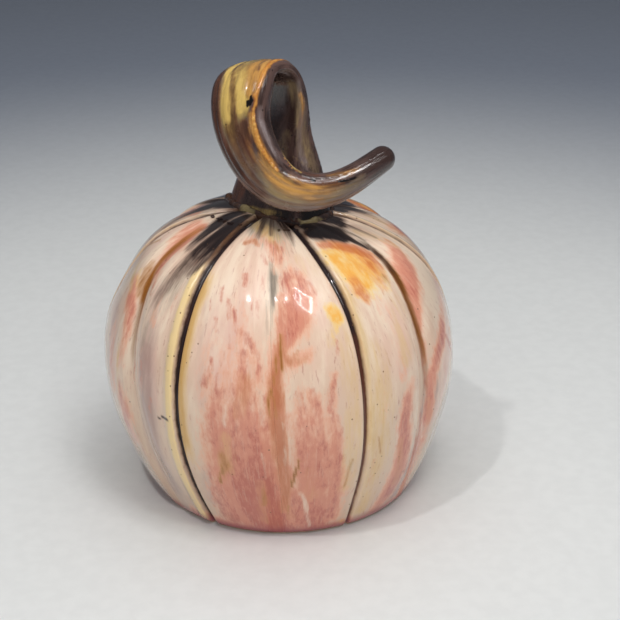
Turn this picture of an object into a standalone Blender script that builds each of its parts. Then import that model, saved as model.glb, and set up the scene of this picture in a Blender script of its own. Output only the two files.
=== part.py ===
"""Glazed ceramic mini pumpkin: a hollow thrown body with carved grooves, and a curled stem.

Metres, +Z up. The origin is the centre of the flat foot, and the front panel faces -Y.
"""

import math

import bmesh
import bpy
import numpy as np

MM = 0.001

# Body: radius and height of the thrown profile, from the foot's edge to the crown
PROFILE_MM = (
    (34.4, 0.0),
    (40.4, 12.9),
    (44.6, 28.4),
    (44.1, 43.8),
    (38.5, 57.3),
    (29.4, 67.3),
    (14.6, 73.2),
    (0.0, 73.6),
)
LEAN_MM = (0.0, -1.3, -1.2, -2.3)  # how far the rings sit off the foot's centre along X, foot to crown
ROWS = 30
FOOT_ROUND_MM = 0.9
FOOT_INNER_MM = 29.0

# Carved grooves: azimuth in degrees at four even heights, foot to crown, 0 at the front and 90 at +X
GROOVES_DEG = (
    (-30.0, -32.0, -34.5, -34.5),
    (27.5, 28.5, 26.5, 16.5),
    (98.0, 94.5, 84.5, 79.0),
    (153.0, 151.0, 150.0, 147.0),
    (207.0, 209.0, 209.0, 212.0),
    (271.0, 271.5, 271.5, 277.0),
)
GROOVE_DEPTH_MM = 1.3
GROOVE_HALF_MM = 1.1
LIP_MM = 0.25  # the burr that the cut raises on both sides of a groove
LIP_AT_MM = 2.4
CARVING_FADES_MM = (12.0, 6.0)  # the carving runs out between these radii on the crown

# Pressed creases: the soft fold in the middle of the panel that follows each groove
CREASES_DEG = (
    (1.5, 0.5, -1.5, 1.5),
    (62.0, 56.0, 59.5, 62.0),
    (122.0, 124.0, 119.0, 116.0),
    (181.0, 179.0, 181.0, 179.0),
    (240.0, 238.0, 241.0, 244.0),
    (314.5, 310.0, 296.0, 294.0),
)
CREASE_DEPTH_MM = 1.1
CREASE_HALF_MM = 3.2
CREASE_FADES_MM = (32.0, 14.0)  # the creases run out between these radii on the crown
CREASE_FOOT_MM = 16.0  # and below this height

# Columns of one half panel: distances from the groove, then shares of the way left to the crease
NEAR_GROOVE_MM = (0.0, 0.6, 1.2, 2.4, 4.6)
NEAR_GROOVE_SHARE = (0.0, 0.10, 0.19, 0.32, 0.45)  # at most these shares, where the panels get narrow
TOWARDS_CREASE = (0.34, 0.62, 0.82)

# Hollow and vent
WALL_MM = 4.5
FLOOR_MM = 5.0
CAVITY_SIDES = 32
CAVITY_ROWS = 12
VENT_MM = 3.2
VENT_SIDES = 16
VENT_AT_MM = (0.0, 12.0)

# Stem: x, y, z of the strap's middle, its width, its thickness and its roll in degrees, root to tip
STEM_STATIONS = (
    (-1.0, 3.5, 71.0, 29.0, 19.0, 0),
    (-0.2, 5.7, 83.0, 23.2, 13.8, -4),
    (-0.1, 6.0, 93.4, 17.9, 8.2, -4),
    (-0.6, 4.6, 102.5, 15.3, 4.9, 10),
    (-3.1, 2.0, 108.8, 14.6, 4.1, 14),
    (-7.1, -2.3, 109.5, 15.0, 4.9, 12),
    (-9.2, -6.4, 106.6, 15.8, 6.9, 4),
    (-9.4, -10.0, 99.3, 14.5, 8.5, 4),
    (-5.6, -13.3, 90.5, 12.7, 8.9, 3),
    (1.6, -16.2, 84.9, 10.6, 7.8, 5),
    (12.6, -16.3, 85.2, 8.2, 6.7, 18),
    (24.0, -11.5, 90.7, 6.4, 6.2, 28),
)
ROOT_FACES_DEG = 46.0  # where the root's front edge faces: 0 at the front and 90 at +X
STEM_RINGS = 66
STEM_SIDES = 32
STEM_SQUARENESS = 2.7  # 2 is an oval section, more is closer to a rectangle
TIP_RINGS = 5
ROUND_RINGS = 16  # the last rings turn oval and lose their ridges
RIDGE_DEPTH_MM = 0.45
RIDGE_HALF = 0.11  # of half the strap's width
RIDGE_LINES = (-0.42, 0.02, 0.44)  # across the outer face, -1 at its back edge and 1 at its front edge
SEAT_GAP_MM = 0.3
SEAT_SIDES = 96
SEAT_ROWS = 8
SEAT_SKIRT_MM = 10.0


def clear_scene():
    for obj in list(bpy.data.objects):
        bpy.data.objects.remove(obj)


def glaze(name, colour, roughness, metallic=0.0, coat=0.0):
    material = bpy.data.materials.new(name)
    material.use_nodes = True
    shader = material.node_tree.nodes["Principled BSDF"]
    shader.inputs["Base Color"].default_value = (*colour, 1.0)
    shader.inputs["Roughness"].default_value = roughness
    shader.inputs["Metallic"].default_value = metallic
    shader.inputs["Coat Weight"].default_value = coat
    return material


def smooth(values, count):
    """Reads count even steps from a natural cubic spline through the rows of values."""
    knots = np.asarray(values, float).reshape(len(values), -1)
    last = len(knots) - 1
    rule = np.eye(last + 1)
    pull = np.zeros_like(knots)
    for i in range(1, last):
        rule[i, i - 1 : i + 2] = 1, 4, 1
        pull[i] = 6 * (knots[i + 1] - 2 * knots[i] + knots[i - 1])
    bend = np.linalg.solve(rule, pull)
    at = np.linspace(0, last, count)
    i = np.minimum(at.astype(int), last - 1)
    after = (at - i)[:, None]
    before = 1 - after
    straight = before * knots[i] + after * knots[i + 1]
    return straight + ((before**3 - before) * bend[i] + (after**3 - after) * bend[i + 1]) / 6


def hill(distance, half):
    """A smooth bump that is 1 at no distance and fades past half."""
    return math.exp(-((distance / half) ** 2))


def skin(bm, rings):
    """Joins closed rings of points into a tube and returns its rings of vertices."""
    loops = [[bm.verts.new(point) for point in ring] for ring in rings]
    for low, high in zip(loops, loops[1:]):
        count = len(low)
        for i in range(count):
            j = (i + 1) % count
            bm.faces.new((low[i], low[j], high[j], high[i]))
    return loops


def close(bm, loop, middle):
    """Closes a ring of vertices with a fan to a point."""
    tip = bm.verts.new(middle)
    for i, vertex in enumerate(loop):
        bm.faces.new((vertex, loop[(i + 1) % len(loop)], tip))


def finished(bm, name, material=None):
    """Turns the faces outwards and links the mesh as an object in metres."""
    bmesh.ops.recalc_face_normals(bm, faces=bm.faces)
    bmesh.ops.scale(bm, vec=(MM, MM, MM), verts=bm.verts)
    mesh = bpy.data.meshes.new(name)
    bm.to_mesh(mesh)
    bm.free()
    obj = bpy.data.objects.new(name, mesh)
    bpy.context.scene.collection.objects.link(obj)
    if material:
        mesh.materials.append(material)
        mesh.shade_smooth()
    return obj


def as_cutter(obj, target):
    """Hides a helper and cuts it out of the target."""
    obj.hide_render = True
    obj.display_type = "WIRE"
    cut = target.modifiers.new(obj.name, "BOOLEAN")
    cut.operation = "DIFFERENCE"
    cut.solver = "EXACT"
    cut.object = obj


def half_panel(groove, crease, radius):
    """Azimuths from a groove up to just before its crease."""
    reach = crease - groove
    width = abs(reach) * radius
    steps = [min(distance / width, share) for distance, share in zip(NEAR_GROOVE_MM, NEAR_GROOVE_SHARE)]
    near = steps[-1]
    steps += [near + (1 - near) * share for share in TOWARDS_CREASE]
    return [groove + reach * step for step in steps]


def columns(grooves, creases, radius):
    """Azimuths of one ring, closer together at the carved grooves."""
    ring = []
    for i, (groove, crease) in enumerate(zip(grooves, creases)):
        following = grooves[(i + 1) % len(grooves)]
        if following < crease:
            following += math.tau
        ring += half_panel(groove, crease, radius)
        ring.append(crease)
        ring += half_panel(following, crease, radius)[:0:-1]
    return ring


def apart(a, b):
    """The angle between two azimuths."""
    return abs((a - b + math.pi) % math.tau - math.pi)


def ramp(value, full, none):
    """1 at full, 0 at none, and even in between."""
    return min(1.0, max(0.0, (value - none) / (full - none)))


def relief(azimuth, radius, height, grooves, creases):
    """How far the carving and pressing move the surface in or out, in millimetres."""
    fade = ramp(radius, *CARVING_FADES_MM)
    crease_fade = ramp(radius, *CREASE_FADES_MM) * ramp(height, CREASE_FOOT_MM, 0.0)
    off_groove = min(apart(azimuth, line) for line in grooves) * radius
    off_crease = min(apart(azimuth, line) for line in creases) * radius
    cut = GROOVE_DEPTH_MM * hill(off_groove, GROOVE_HALF_MM)
    lip = LIP_MM * hill(off_groove - LIP_AT_MM, GROOVE_HALF_MM)
    fold = CREASE_DEPTH_MM * hill(off_crease, CREASE_HALF_MM)
    return fade * (lip - cut) - crease_fade * fold


def profile_rows():
    """Radius, height and sideways lean of each ring, and its outward slope."""
    rings = smooth(PROFILE_MM, ROWS)
    lean = smooth(LEAN_MM, ROWS)[:, 0]
    along = np.gradient(rings, axis=0)
    along /= np.linalg.norm(along, axis=1)[:, None]
    return rings, lean, np.stack([along[:, 1], -along[:, 0]], axis=1)


def make_body():
    rings, lean, outwards = profile_rows()
    grooves = np.radians(np.array([smooth(line, ROWS)[:, 0] for line in GROOVES_DEG]))
    creases = np.radians(np.array([smooth(line, ROWS)[:, 0] for line in CREASES_DEG]))
    bm = bmesh.new()
    surface = []
    for row in range(ROWS - 1):
        radius, height = rings[row]
        lines = (grooves[:, row], creases[:, row])
        ring = []
        for azimuth in columns(*lines, radius):
            move = relief(azimuth, radius, height, *lines)
            r = radius + move * outwards[row, 0]
            z = max(height + move * outwards[row, 1], 0.0)
            if row == 0:
                r, z = radius + min(move, 0.0), FOOT_ROUND_MM
            ring.append((lean[row] + r * math.sin(azimuth), -r * math.cos(azimuth), z))
        surface.append(ring)
    edge = foot_ring(surface[0], lambda r: r - FOOT_ROUND_MM)
    inner = foot_ring(surface[0], lambda r: FOOT_INNER_MM)
    loops = skin(bm, [inner, edge, *surface])
    close(bm, loops[0], (0.0, 0.0, 0.0))
    close(bm, loops[-1], (lean[-1], 0.0, rings[-1, 1]))
    body = finished(bm, "body", glaze("body_glaze", (0.80, 0.60, 0.52), 0.15, coat=0.5))
    as_cutter(make_cavity(), body)
    as_cutter(make_vent(), body)
    return body


def foot_ring(ring, radius_of):
    """A ring on the ground below another one."""
    points = []
    for x, y, _ in ring:
        radius = math.hypot(x, y)
        share = radius_of(radius) / radius
        points.append((x * share, y * share, 0.0))
    return points


def turned(bm, profile, lean, sides):
    """A closed turned solid from rows of radius and height, each ring moved along X by its lean."""
    rings = []
    for (radius, height), shift in zip(profile, lean):
        turn = [math.tau * i / sides for i in range(sides)]
        rings.append([(shift + radius * math.sin(a), -radius * math.cos(a), height) for a in turn])
    loops = skin(bm, rings)
    close(bm, loops[0], (lean[0], 0.0, profile[0][1]))
    close(bm, loops[-1], (lean[-1], 0.0, profile[-1][1]))


def make_cavity():
    """The hollow inside: the profile set in by the wall, down to the floor."""
    rings, lean, outwards = profile_rows()
    inside = rings - WALL_MM * outwards
    keep = (inside[:, 1] > FLOOR_MM) & (inside[:, 0] > WALL_MM)
    inside, shift = inside[keep], lean[keep]
    chosen = np.linspace(0, len(inside) - 1, CAVITY_ROWS).round().astype(int)
    inside, shift = inside[chosen], shift[chosen]
    inside[0, 1] = FLOOR_MM
    bm = bmesh.new()
    turned(bm, inside, shift, CAVITY_SIDES)
    return finished(bm, "cavity_cutter")


def make_vent():
    x, y = VENT_AT_MM
    bm = bmesh.new()
    bmesh.ops.create_cone(
        bm,
        cap_ends=True,
        segments=VENT_SIDES,
        radius1=VENT_MM / 2,
        radius2=VENT_MM / 2,
        depth=4 * FLOOR_MM,  # twice through the floor, from its middle
    )
    bmesh.ops.translate(bm, vec=(x, y, 0.0), verts=bm.verts)
    return finished(bm, "vent_cutter")


def make_seat():
    """The body's crown without its carving, raised by the gap, to trim the stem's root."""
    rings, lean, _ = profile_rows()
    top = rings[-SEAT_ROWS:-1] + (0.0, SEAT_GAP_MM)
    shift = lean[-SEAT_ROWS:-1]
    below = (top[0, 0], top[0, 1] - SEAT_SKIRT_MM)
    bm = bmesh.new()
    turned(bm, [below, *top], [shift[0], *shift], SEAT_SIDES)
    return finished(bm, "seat_cutter")


def stem_frames():
    """Middle, way along, width way, thickness way, width and thickness of each ring of the strap.

    The width way is carried along the strap without twist, and each ring then gets its roll.
    """
    values = smooth(STEM_STATIONS, STEM_RINGS)
    middle, width, thick = values[:, :3], values[:, 3], values[:, 4]
    along = np.gradient(middle, axis=0)
    along /= np.linalg.norm(along, axis=1)[:, None]
    faces = math.radians(ROOT_FACES_DEG)
    carried = np.array([math.sin(faces), -math.cos(faces), 0.0])
    front = np.zeros_like(middle)
    for i, way in enumerate(along):
        carried -= (carried @ way) * way
        carried /= np.linalg.norm(carried)
        front[i] = carried
    outer = np.cross(along, front)
    roll = np.radians(values[:, 5:6])
    turned_front = front * np.cos(roll) + outer * np.sin(roll)
    turned_outer = outer * np.cos(roll) - front * np.sin(roll)
    return middle, along, turned_front, turned_outer, width, thick


def section(turn, squareness):
    """One point of the strap's section: across and out from -1 to 1, and how deep a pulled line is there."""
    power = 2.0 / squareness
    across = math.copysign(abs(math.cos(turn)) ** power, math.cos(turn))
    out = math.copysign(abs(math.sin(turn)) ** power, math.sin(turn))
    dent = sum(hill(across - line, RIDGE_HALF) for line in RIDGE_LINES) if out > 0 else 0.0
    return across, out, dent


def make_stem():
    middle, along, front, outer, width, thick = stem_frames()
    turns = [math.tau * i / STEM_SIDES for i in range(STEM_SIDES)]
    rings = []
    for i in range(STEM_RINGS):
        strap = ramp(i, STEM_RINGS - ROUND_RINGS, STEM_RINGS - 1)
        squareness = 2.0 + (STEM_SQUARENESS - 2.0) * strap
        ring = []
        for across, out, dent in (section(turn, squareness) for turn in turns):
            lift = thick[i] / 2 * out - RIDGE_DEPTH_MM * dent * strap
            ring.append(tuple(middle[i] + across * width[i] / 2 * front[i] + lift * outer[i]))
        rings.append(ring)
    end, radius = np.array(rings[-1]), thick[-1] / 2
    for k in range(1, TIP_RINGS):
        angle = math.pi / 2 * k / TIP_RINGS
        ahead = middle[-1] + along[-1] * radius * math.sin(angle)
        rings.append([tuple(ahead + (p - middle[-1]) * math.cos(angle)) for p in end])
    bm = bmesh.new()
    loops = skin(bm, rings)
    close(bm, loops[0], tuple(middle[0]))
    close(bm, loops[-1], tuple(middle[-1] + along[-1] * radius))
    stem = finished(bm, "stem", glaze("stem_glaze", (0.20, 0.10, 0.06), 0.2, metallic=0.2))
    as_cutter(make_seat(), stem)
    return stem


def main():
    clear_scene()
    make_body()
    make_stem()


main()
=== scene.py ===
"""Glazed ceramic mini pumpkin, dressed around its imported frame.

The hollow body with its carved grooves and the pulled strap of its stem are modelled fine, on the same
driving sizes as the solids. Their glazes are brushed on as named strokes, which noise then breaks up.
A pale sheet, soft studio light and the camera follow.
"""

import logging
import math
from dataclasses import dataclass
from enum import Enum

import bpy
import numpy as np
from mathutils import Euler, Matrix, Vector


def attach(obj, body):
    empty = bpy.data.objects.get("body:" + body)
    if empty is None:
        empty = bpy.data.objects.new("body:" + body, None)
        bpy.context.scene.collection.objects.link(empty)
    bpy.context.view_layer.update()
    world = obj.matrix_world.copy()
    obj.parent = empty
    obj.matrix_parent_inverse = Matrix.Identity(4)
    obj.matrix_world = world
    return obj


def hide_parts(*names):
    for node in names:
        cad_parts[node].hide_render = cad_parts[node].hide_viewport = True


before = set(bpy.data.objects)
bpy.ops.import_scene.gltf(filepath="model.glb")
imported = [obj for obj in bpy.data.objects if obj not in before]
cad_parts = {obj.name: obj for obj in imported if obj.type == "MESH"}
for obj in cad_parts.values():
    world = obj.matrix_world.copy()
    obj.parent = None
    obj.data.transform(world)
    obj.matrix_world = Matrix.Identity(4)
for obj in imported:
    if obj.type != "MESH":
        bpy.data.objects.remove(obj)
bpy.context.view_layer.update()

LOG = logging.getLogger("pumpkin")
MM = 0.001
Grid = np.ndarray
Piece = bpy.types.Object
Material = bpy.types.Material
Tree = bpy.types.NodeTree
Node = bpy.types.Node
Socket = bpy.types.NodeSocket
Value = float | Socket
Pair = tuple[float, float]
Point = tuple[float, float, float]
Colour = tuple[float, float, float]
Brushed = tuple[tuple[tuple[float, float, float, float], ...], ...]


class Slot(Enum):
    """The record's material slots."""

    BODY = "body_glaze"
    STEM = "stem_glaze"


class Glaze(Enum):
    """The coats of glaze, each a mask on the clay. The sheen coat is painted highlight, and the dark coat
    also holds painted shadow round the stem's root.
    """

    BLUSH = "blush"
    MAUVE = "mauve"
    GREY = "grey"
    SALMON = "salmon"
    ROSE = "rose"
    TERRACOTTA = "terracotta"
    WHITE = "white"
    MUSTARD = "mustard"
    BUTTER = "butter"
    OLIVE = "olive"
    AMBER = "amber"
    ORANGE = "orange"
    OCHRE = "ochre"
    DARK = "dark"
    RUSSET = "russet"
    CREASE_DARK = "crease_dark"
    CREASE_OCHRE = "crease_ochre"
    SLATE = "slate"
    YELLOW = "yellow"
    BROWN = "brown"


# Each stroke is a row of points: way round the body in straightened degrees, where every panel is 60 wide
# and starts at its groove, then way up the surface, half width in millimetres, and strength.
BODY_STROKES: dict[Glaze, Brushed] = {
    Glaze.DARK: (
        ((172, 34.8, 0.3, 0.9), (174.7, 36, 0.4, 1), (176.8, 35.7, 0.3, 0.9)),
        ((161, 96, 1.8, 1), (167, 91, 3, 1), (170, 86, 3.8, 1), (170, 82, 4.2, 1), (168, 78, 3.8, 0.9),
         (167, 75, 3.4, 0.75), (165, 71, 2.8, 0.62), (164, 67, 2.4, 0.5), (162, 63, 2, 0.38),
         (160, 60, 1.6, 0.25)),
        ((135, 96, 2.4, 1), (145, 91, 2.8, 1), (153, 86, 2.6, 0.95), (156, 82, 2.2, 0.8),
         (158, 78, 1.6, 0.6)),
        ((175, 90, 1.6, 1), (176, 84, 2, 0.8), (175, 78, 2, 0.72), (174, 74, 1.6, 0.7),
         (172, 72, 1.4, 0.6)),
        ((104, 94, 2.6, 1), (98, 88, 3, 1), (103, 85, 2.6, 0.95), (107, 82, 2, 0.8), (110, 79, 1.6, 0.7),
         (114, 75, 1.2, 0.5)),
        ((252, 96, 2.2, 1), (255, 92, 3.2, 1), (262, 89, 3.8, 1), (270, 86, 3.4, 1), (270, 84, 2.2, 1),
         (272, 81, 1.3, 0.95), (274.5, 77.9, 0.9, 0.8)),
        ((272, 96, 2.6, 1), (282, 92, 3.4, 1), (287, 89, 2.8, 1), (284, 87, 1.8, 0.9)),
        ((249, 88, 2.4, 1), (261, 86, 2.6, 1), (266, 83, 1.8, 1)),
        ((320, 89, 2.4, 1), (319, 86, 2.4, 0.95), (317, 83, 2, 0.75), (315, 80, 1.5, 0.5),
         (311.1, 76.5, 1, 0.3)),
        ((286.4, 86.1, 0.7, 0.7), (286.5, 81.9, 0.6, 0.55), (286.8, 78.1, 0.5, 0.4)),
        ((279.1, 84, 0.5, 0.6), (280.6, 79.8, 0.5, 0.45)),
        ((226, 97, 1.4, 0.9), (229, 92, 1.4, 0.8), (229, 87.3, 1, 0.6), (228.3, 84.2, 0.6, 0.35)),
        ((198.4, 98.1, 1.1, 0.9), (201.8, 92.3, 1, 0.75), (202, 87.3, 0.7, 0.45)),
        ((213.2, 97.8, 0.8, 0.8), (213, 89.2, 0.6, 0.6)), ((175, 97.5, 0.7, 0.7), (187, 91.9, 0.6, 0.5)),
    ),
    Glaze.GREY: (
        ((164, 67, 3, 0.6), (162, 63, 3, 0.5), (162, 58, 2.6, 0.4), (164, 53, 2.4, 0.3)),
        ((171, 75, 2.6, 0.6), (170, 70, 2.6, 0.6), (169, 65, 2.2, 0.5), (168, 61, 1.8, 0.35)),
        ((212.7, 79.1, 0.8, 0.6), (213.5, 75.2, 1.1, 0.9), (213, 71.2, 1, 0.95), (212.6, 67.8, 0.7, 0.8),
         (211.9, 64.7, 0.4, 0.5), (211, 60.4, 0.3, 0.4)),
        ((210.7, 68.6, 0.3, 0.5), (209.9, 63.8, 0.3, 0.5), (209.5, 59, 0.25, 0.4)),
        ((175, 98, 2.6, 0.8), (196, 92, 2.8, 0.7), (204, 86, 2.4, 0.4)),
        ((205, 100, 2.4, 0.95), (218, 92, 2.6, 0.8), (220, 87, 2, 0.5), (222, 82, 1.4, 0.3)),
        ((235.9, 25.7, 0.5, 0.4), (234.2, 21.5, 0.5, 0.5), (233.8, 18, 0.4, 0.4)),
        ((192.6, 50.4, 0.3, 0.5), (190.9, 47.5, 0.3, 0.5)),
        ((200.2, 59.1, 0.25, 0.5), (200, 55.8, 0.25, 0.4)),
    ),
    Glaze.SALMON: (
        ((221, 76, 2.2, 0.45), (223, 73, 3.2, 0.7), (223, 69, 3.6, 0.95), (222, 66, 3.8, 1),
         (219, 62, 3.4, 1), (216, 59, 2.6, 0.95), (214, 56, 2, 0.8)),
        ((217, 69, 2, 0.8), (216, 64, 2.2, 0.9), (215, 60, 2, 0.9)),
        ((214, 57, 2.2, 0.8), (213, 52, 2.6, 0.75), (212, 45, 3, 0.8), (213, 38, 3.2, 0.8),
         (213, 29, 3.4, 0.8), (214, 19, 3.6, 0.8), (214, 8, 3.8, 0.85)),
        ((215, 54, 2.2, 0.7), (218, 54, 2.2, 0.7), (222, 55, 1.8, 0.65), (224, 56, 1.2, 0.5)),
        ((195, 86, 1.8, 0.5), (205, 88, 2.2, 0.5), (215, 85, 2.2, 0.65), (218, 81, 2, 0.6),
         (216, 77, 1.4, 0.35)),
        ((199, 68, 2.4, 0.3), (201, 62, 3, 0.4), (203, 58, 3.4, 0.5), (204, 52, 3.8, 0.6),
         (203, 47, 4.2, 0.65)),
        ((191, 60, 1.6, 0.22), (191, 55, 1.8, 0.3), (191, 50, 2.2, 0.4), (192, 45, 2.6, 0.5)),
        ((196, 57, 2.2, 0.3), (198, 52, 2.6, 0.42), (199, 46, 3.4, 0.62)),
        ((197, 46, 4.2, 0.6), (196, 39, 5.6, 0.85), (197, 31, 6.6, 1), (198, 21, 7.4, 1),
         (199, 8, 7.6, 1)),
        ((204, 46, 4, 0.6), (205, 39, 5.2, 0.9), (206, 30, 5.6, 1), (207, 19, 6.4, 1), (208, 6, 7, 1)),
        ((221, 45, 3.2, 0.5), (221, 38, 4.2, 0.75), (222, 30, 5.2, 0.95), (223, 18, 5.8, 1),
         (223, 6, 6.4, 1)),
        ((226, 44, 2.8, 0.45), (227, 38, 3.6, 0.75), (228, 29, 3.8, 0.9), (230, 19, 3.8, 0.9),
         (229, 7, 4.4, 0.95)), ((230, 50, 1.2, 0.5), (229, 44, 1.5, 0.6), (229, 40, 1.6, 0.6)),
        ((140, 84, 2.8, 1), (143, 81, 3.4, 1), (146, 77, 3.6, 1), (147, 73, 3, 0.95),
         (149, 69, 2.4, 0.7)), ((130, 84, 2, 0.8), (134, 81, 2.2, 0.85), (138, 77, 2, 0.7)),
        ((148, 74, 2.4, 0.6), (149, 70, 2.4, 0.6), (152, 66, 2, 0.5)),
        ((140, 63, 2, 0.7), (144, 59, 2.6, 0.9), (147, 56, 2.6, 0.85), (150, 51, 2.2, 0.7),
         (150, 44, 2.2, 0.6)), ((139, 49, 2, 0.45), (143, 42, 2.2, 0.6), (145, 36, 2.4, 0.65)),
        ((152, 36, 2.6, 0.7), (153, 31, 3.2, 0.9), (152, 25, 2.8, 0.75), (144, 13, 2.4, 0.45),
         (145, 4, 2.4, 0.45)), ((161, 50, 1.6, 0.35), (163, 41, 1.6, 0.35)),
        ((164, 63, 1.4, 0.3), (165, 58, 1.4, 0.3)),
        ((289, 75, 2, 0.7), (286, 72, 2.8, 0.95), (282, 68, 3.8, 1), (277, 64, 3.8, 1),
         (274, 61, 2.8, 0.95), (271, 56, 1.8, 0.9), (268, 51, 1.4, 0.8), (266, 45, 1.2, 0.7)),
        ((292, 54, 1.6, 0.5), (284, 51, 2, 0.8), (280, 48, 2.4, 1), (274, 45, 2.2, 1),
         (269, 41, 1.8, 0.9), (267, 35, 2, 0.9), (267, 28, 2.4, 0.9)),
        ((288, 46, 1.2, 0.6), (286, 41, 1.2, 0.6)),
        ((258, 43, 1.4, 0.5), (255, 38, 2, 0.85), (254, 32, 2.2, 0.9), (255, 24, 2.6, 0.95),
         (255, 15, 2.8, 1), (254, 7, 2.6, 1), (251, 3, 2.4, 0.9)),
        ((266, 27, 2.4, 0.7), (266, 20, 2.8, 0.8), (265, 13, 2.8, 0.85), (266, 4, 2.4, 0.85)),
        ((255, 57, 1.2, 0.25), (254, 51, 1.4, 0.3), (254, 45, 1.4, 0.35)),
        ((256, 64, 2, 0.25), (254, 60, 1.8, 0.25)), ((246.8, 42.2, 1, 0.3), (245.9, 35.7, 1, 0.3)),
        ((172, 3, 2.4, 0.8), (180, 2, 3, 0.95), (193, 1, 3.4, 1), (206, 1, 3.6, 1), (219, 0, 3.6, 1),
         (232, 1, 3.2, 1), (239, 2, 2.2, 0.8)),
        ((246, 1, 1.4, 0.6), (254, 2, 1.8, 0.8), (263, 2, 2, 0.85), (274, 2, 2, 0.8)),
    ),
    Glaze.ROSE: (
        ((219.8, 75.9, 1, 0.7), (220, 73, 1.3, 0.75), (219, 70, 1.2, 0.6)),
        ((225, 75.9, 0.8, 0.6), (225, 72, 1.2, 0.75), (222, 69, 1.3, 0.75)),
        ((228.5, 72.5, 0.9, 0.7), (228.5, 69.6, 1, 0.7)),
        ((220, 67, 1.8, 0.6), (220, 64, 1.8, 0.6), (217, 60, 1.5, 0.6)),
        ((217.2, 74.9, 0.5, 0.6), (217.1, 71.2, 0.5, 0.6)),
        ((210.7, 86.7, 0.9, 0.6), (215, 84.2, 1.1, 0.65), (213.4, 80.4, 0.9, 0.6)),
        ((219.8, 83.8, 0.7, 0.55), (217.5, 79.1, 0.6, 0.5)),
        ((207.2, 81.5, 0.6, 0.5), (210, 79.1, 0.7, 0.5)),
        ((199.9, 75, 0.7, 0.75), (201.2, 72.3, 0.7, 0.65)),
        ((191.2, 70.5, 0.6, 0.6), (192.1, 67.5, 0.6, 0.6)),
        ((194.9, 67.8, 0.5, 0.6), (196.7, 63.5, 0.6, 0.55)),
        ((187.9, 67, 0.4, 0.45), (189.1, 63.3, 0.4, 0.45)),
        ((191.6, 63, 0.5, 0.6), (192, 59.8, 0.5, 0.55)),
        ((197.9, 65.5, 0.5, 0.6), (199.2, 62.1, 0.5, 0.5)),
        ((203.6, 69.4, 0.4, 0.5), (204.2, 66, 0.4, 0.45)),
        ((206.7, 68.5, 0.4, 0.5), (207, 64.1, 0.4, 0.5)),
        ((208.2, 75, 0.35, 0.5), (208.7, 71, 0.35, 0.5)),
        ((200.4, 60.9, 1, 0.5), (203, 59.5, 1.1, 0.55), (204.8, 57.3, 1, 0.5), (206, 55.3, 0.8, 0.35)),
        ((202.2, 56, 1, 0.75), (202.3, 53.7, 1.1, 0.7), (203, 50, 1.2, 0.6), (203, 47, 1.4, 0.6)),
        ((205.7, 57.8, 0.7, 0.55), (207.2, 53.9, 0.7, 0.5), (207.2, 49.7, 0.8, 0.5)),
        ((191.9, 53.2, 0.6, 0.55), (192.9, 51, 0.5, 0.5)),
        ((190.7, 51.1, 1, 0.6), (190.5, 47.3, 1.1, 0.55)),
        ((195.3, 55.5, 0.5, 0.45), (195.7, 52.2, 0.5, 0.45)),
        ((197.4, 59.6, 0.4, 0.5), (197.9, 56.6, 0.4, 0.45)),
        ((194.5, 49.7, 0.6, 0.5), (194, 46.4, 0.8, 0.5)),
        ((195, 46, 1.4, 0.55), (193, 40, 2, 0.6), (192, 33, 1.8, 0.6)),
        ((199, 47, 1.6, 0.55), (200, 41, 2.4, 0.62), (201, 33, 2.8, 0.7)),
        ((204, 47, 1.6, 0.5), (205, 40, 2, 0.6), (205, 33, 2.2, 0.65)),
        ((209, 45, 1.2, 0.5), (209, 38, 1.6, 0.6)),
        ((197, 31, 3.4, 0.6), (199, 24, 4.2, 0.8), (202, 15, 4.8, 0.95), (204, 6, 5, 1)),
        ((205, 32, 2.6, 0.75), (206, 22, 3.4, 0.95), (208, 13, 4.2, 1), (209, 4, 4.6, 1)),
        ((190, 24, 1.8, 0.5), (190, 15, 2.4, 0.7), (191, 6, 3, 0.9)),
        ((219.4, 45.9, 1, 0.5), (220, 42, 1.4, 0.5), (220, 35, 2, 0.55), (220, 26, 2.4, 0.6)),
        ((223.1, 46.6, 1, 0.5), (224, 44, 1.4, 0.6), (224, 38, 1.8, 0.6), (226, 30, 2, 0.62),
         (226, 20, 2.2, 0.65)), ((217, 15, 2.2, 0.6), (220, 6, 3, 0.8)),
        ((225, 14, 2.4, 0.7), (225, 5, 3.4, 0.9)),
        ((229.6, 39.5, 1, 0.5), (231, 33, 1.4, 0.6), (231, 26, 1.4, 0.6), (231, 16, 1.6, 0.6),
         (230, 7, 2, 0.8)), ((230.6, 50.1, 0.6, 0.75), (229.2, 46, 0.8, 0.75), (228.4, 41.6, 0.9, 0.7)),
        ((233.2, 58, 0.4, 0.4), (232.2, 54.3, 0.4, 0.5)),
        ((173, 1, 1.2, 0.9), (186, 1, 1.8, 1), (202, 1, 2, 1), (214, 0, 2, 1), (228, 0, 1.8, 1),
         (238, 0, 1.4, 0.9)),
        ((246, 0, 1.2, 0.7), (255, 1, 1.2, 0.8), (264, 0, 1.4, 0.8), (274, 0, 1.2, 0.7)),
        ((143, 82, 1.4, 0.65), (146, 79, 1.6, 0.7), (148, 75, 1.4, 0.6)),
        ((149.4, 70.3, 0.7, 0.65), (150.2, 68.1, 0.6, 0.55)),
        ((148.8, 73, 0.5, 0.6), (150.2, 71.3, 0.5, 0.55)),
        ((145, 59, 1.2, 0.6), (149, 56, 1.2, 0.6), (150.2, 50.8, 1, 0.5)),
        ((171.3, 65.7, 0.5, 0.5), (171.3, 61.6, 0.5, 0.5)),
        ((154.4, 66.1, 0.7, 0.5), (156, 63.2, 0.6, 0.5)),
        ((151.2, 39.3, 1, 0.55), (152, 33, 1.8, 0.6), (151, 26, 1.6, 0.6)),
        ((141.4, 46.9, 1, 0.5), (142.5, 40.5, 1, 0.5)),
        ((157.1, 51.3, 0.4, 0.6), (158.5, 46, 0.4, 0.6), (158.8, 40.2, 0.4, 0.5)),
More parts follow.
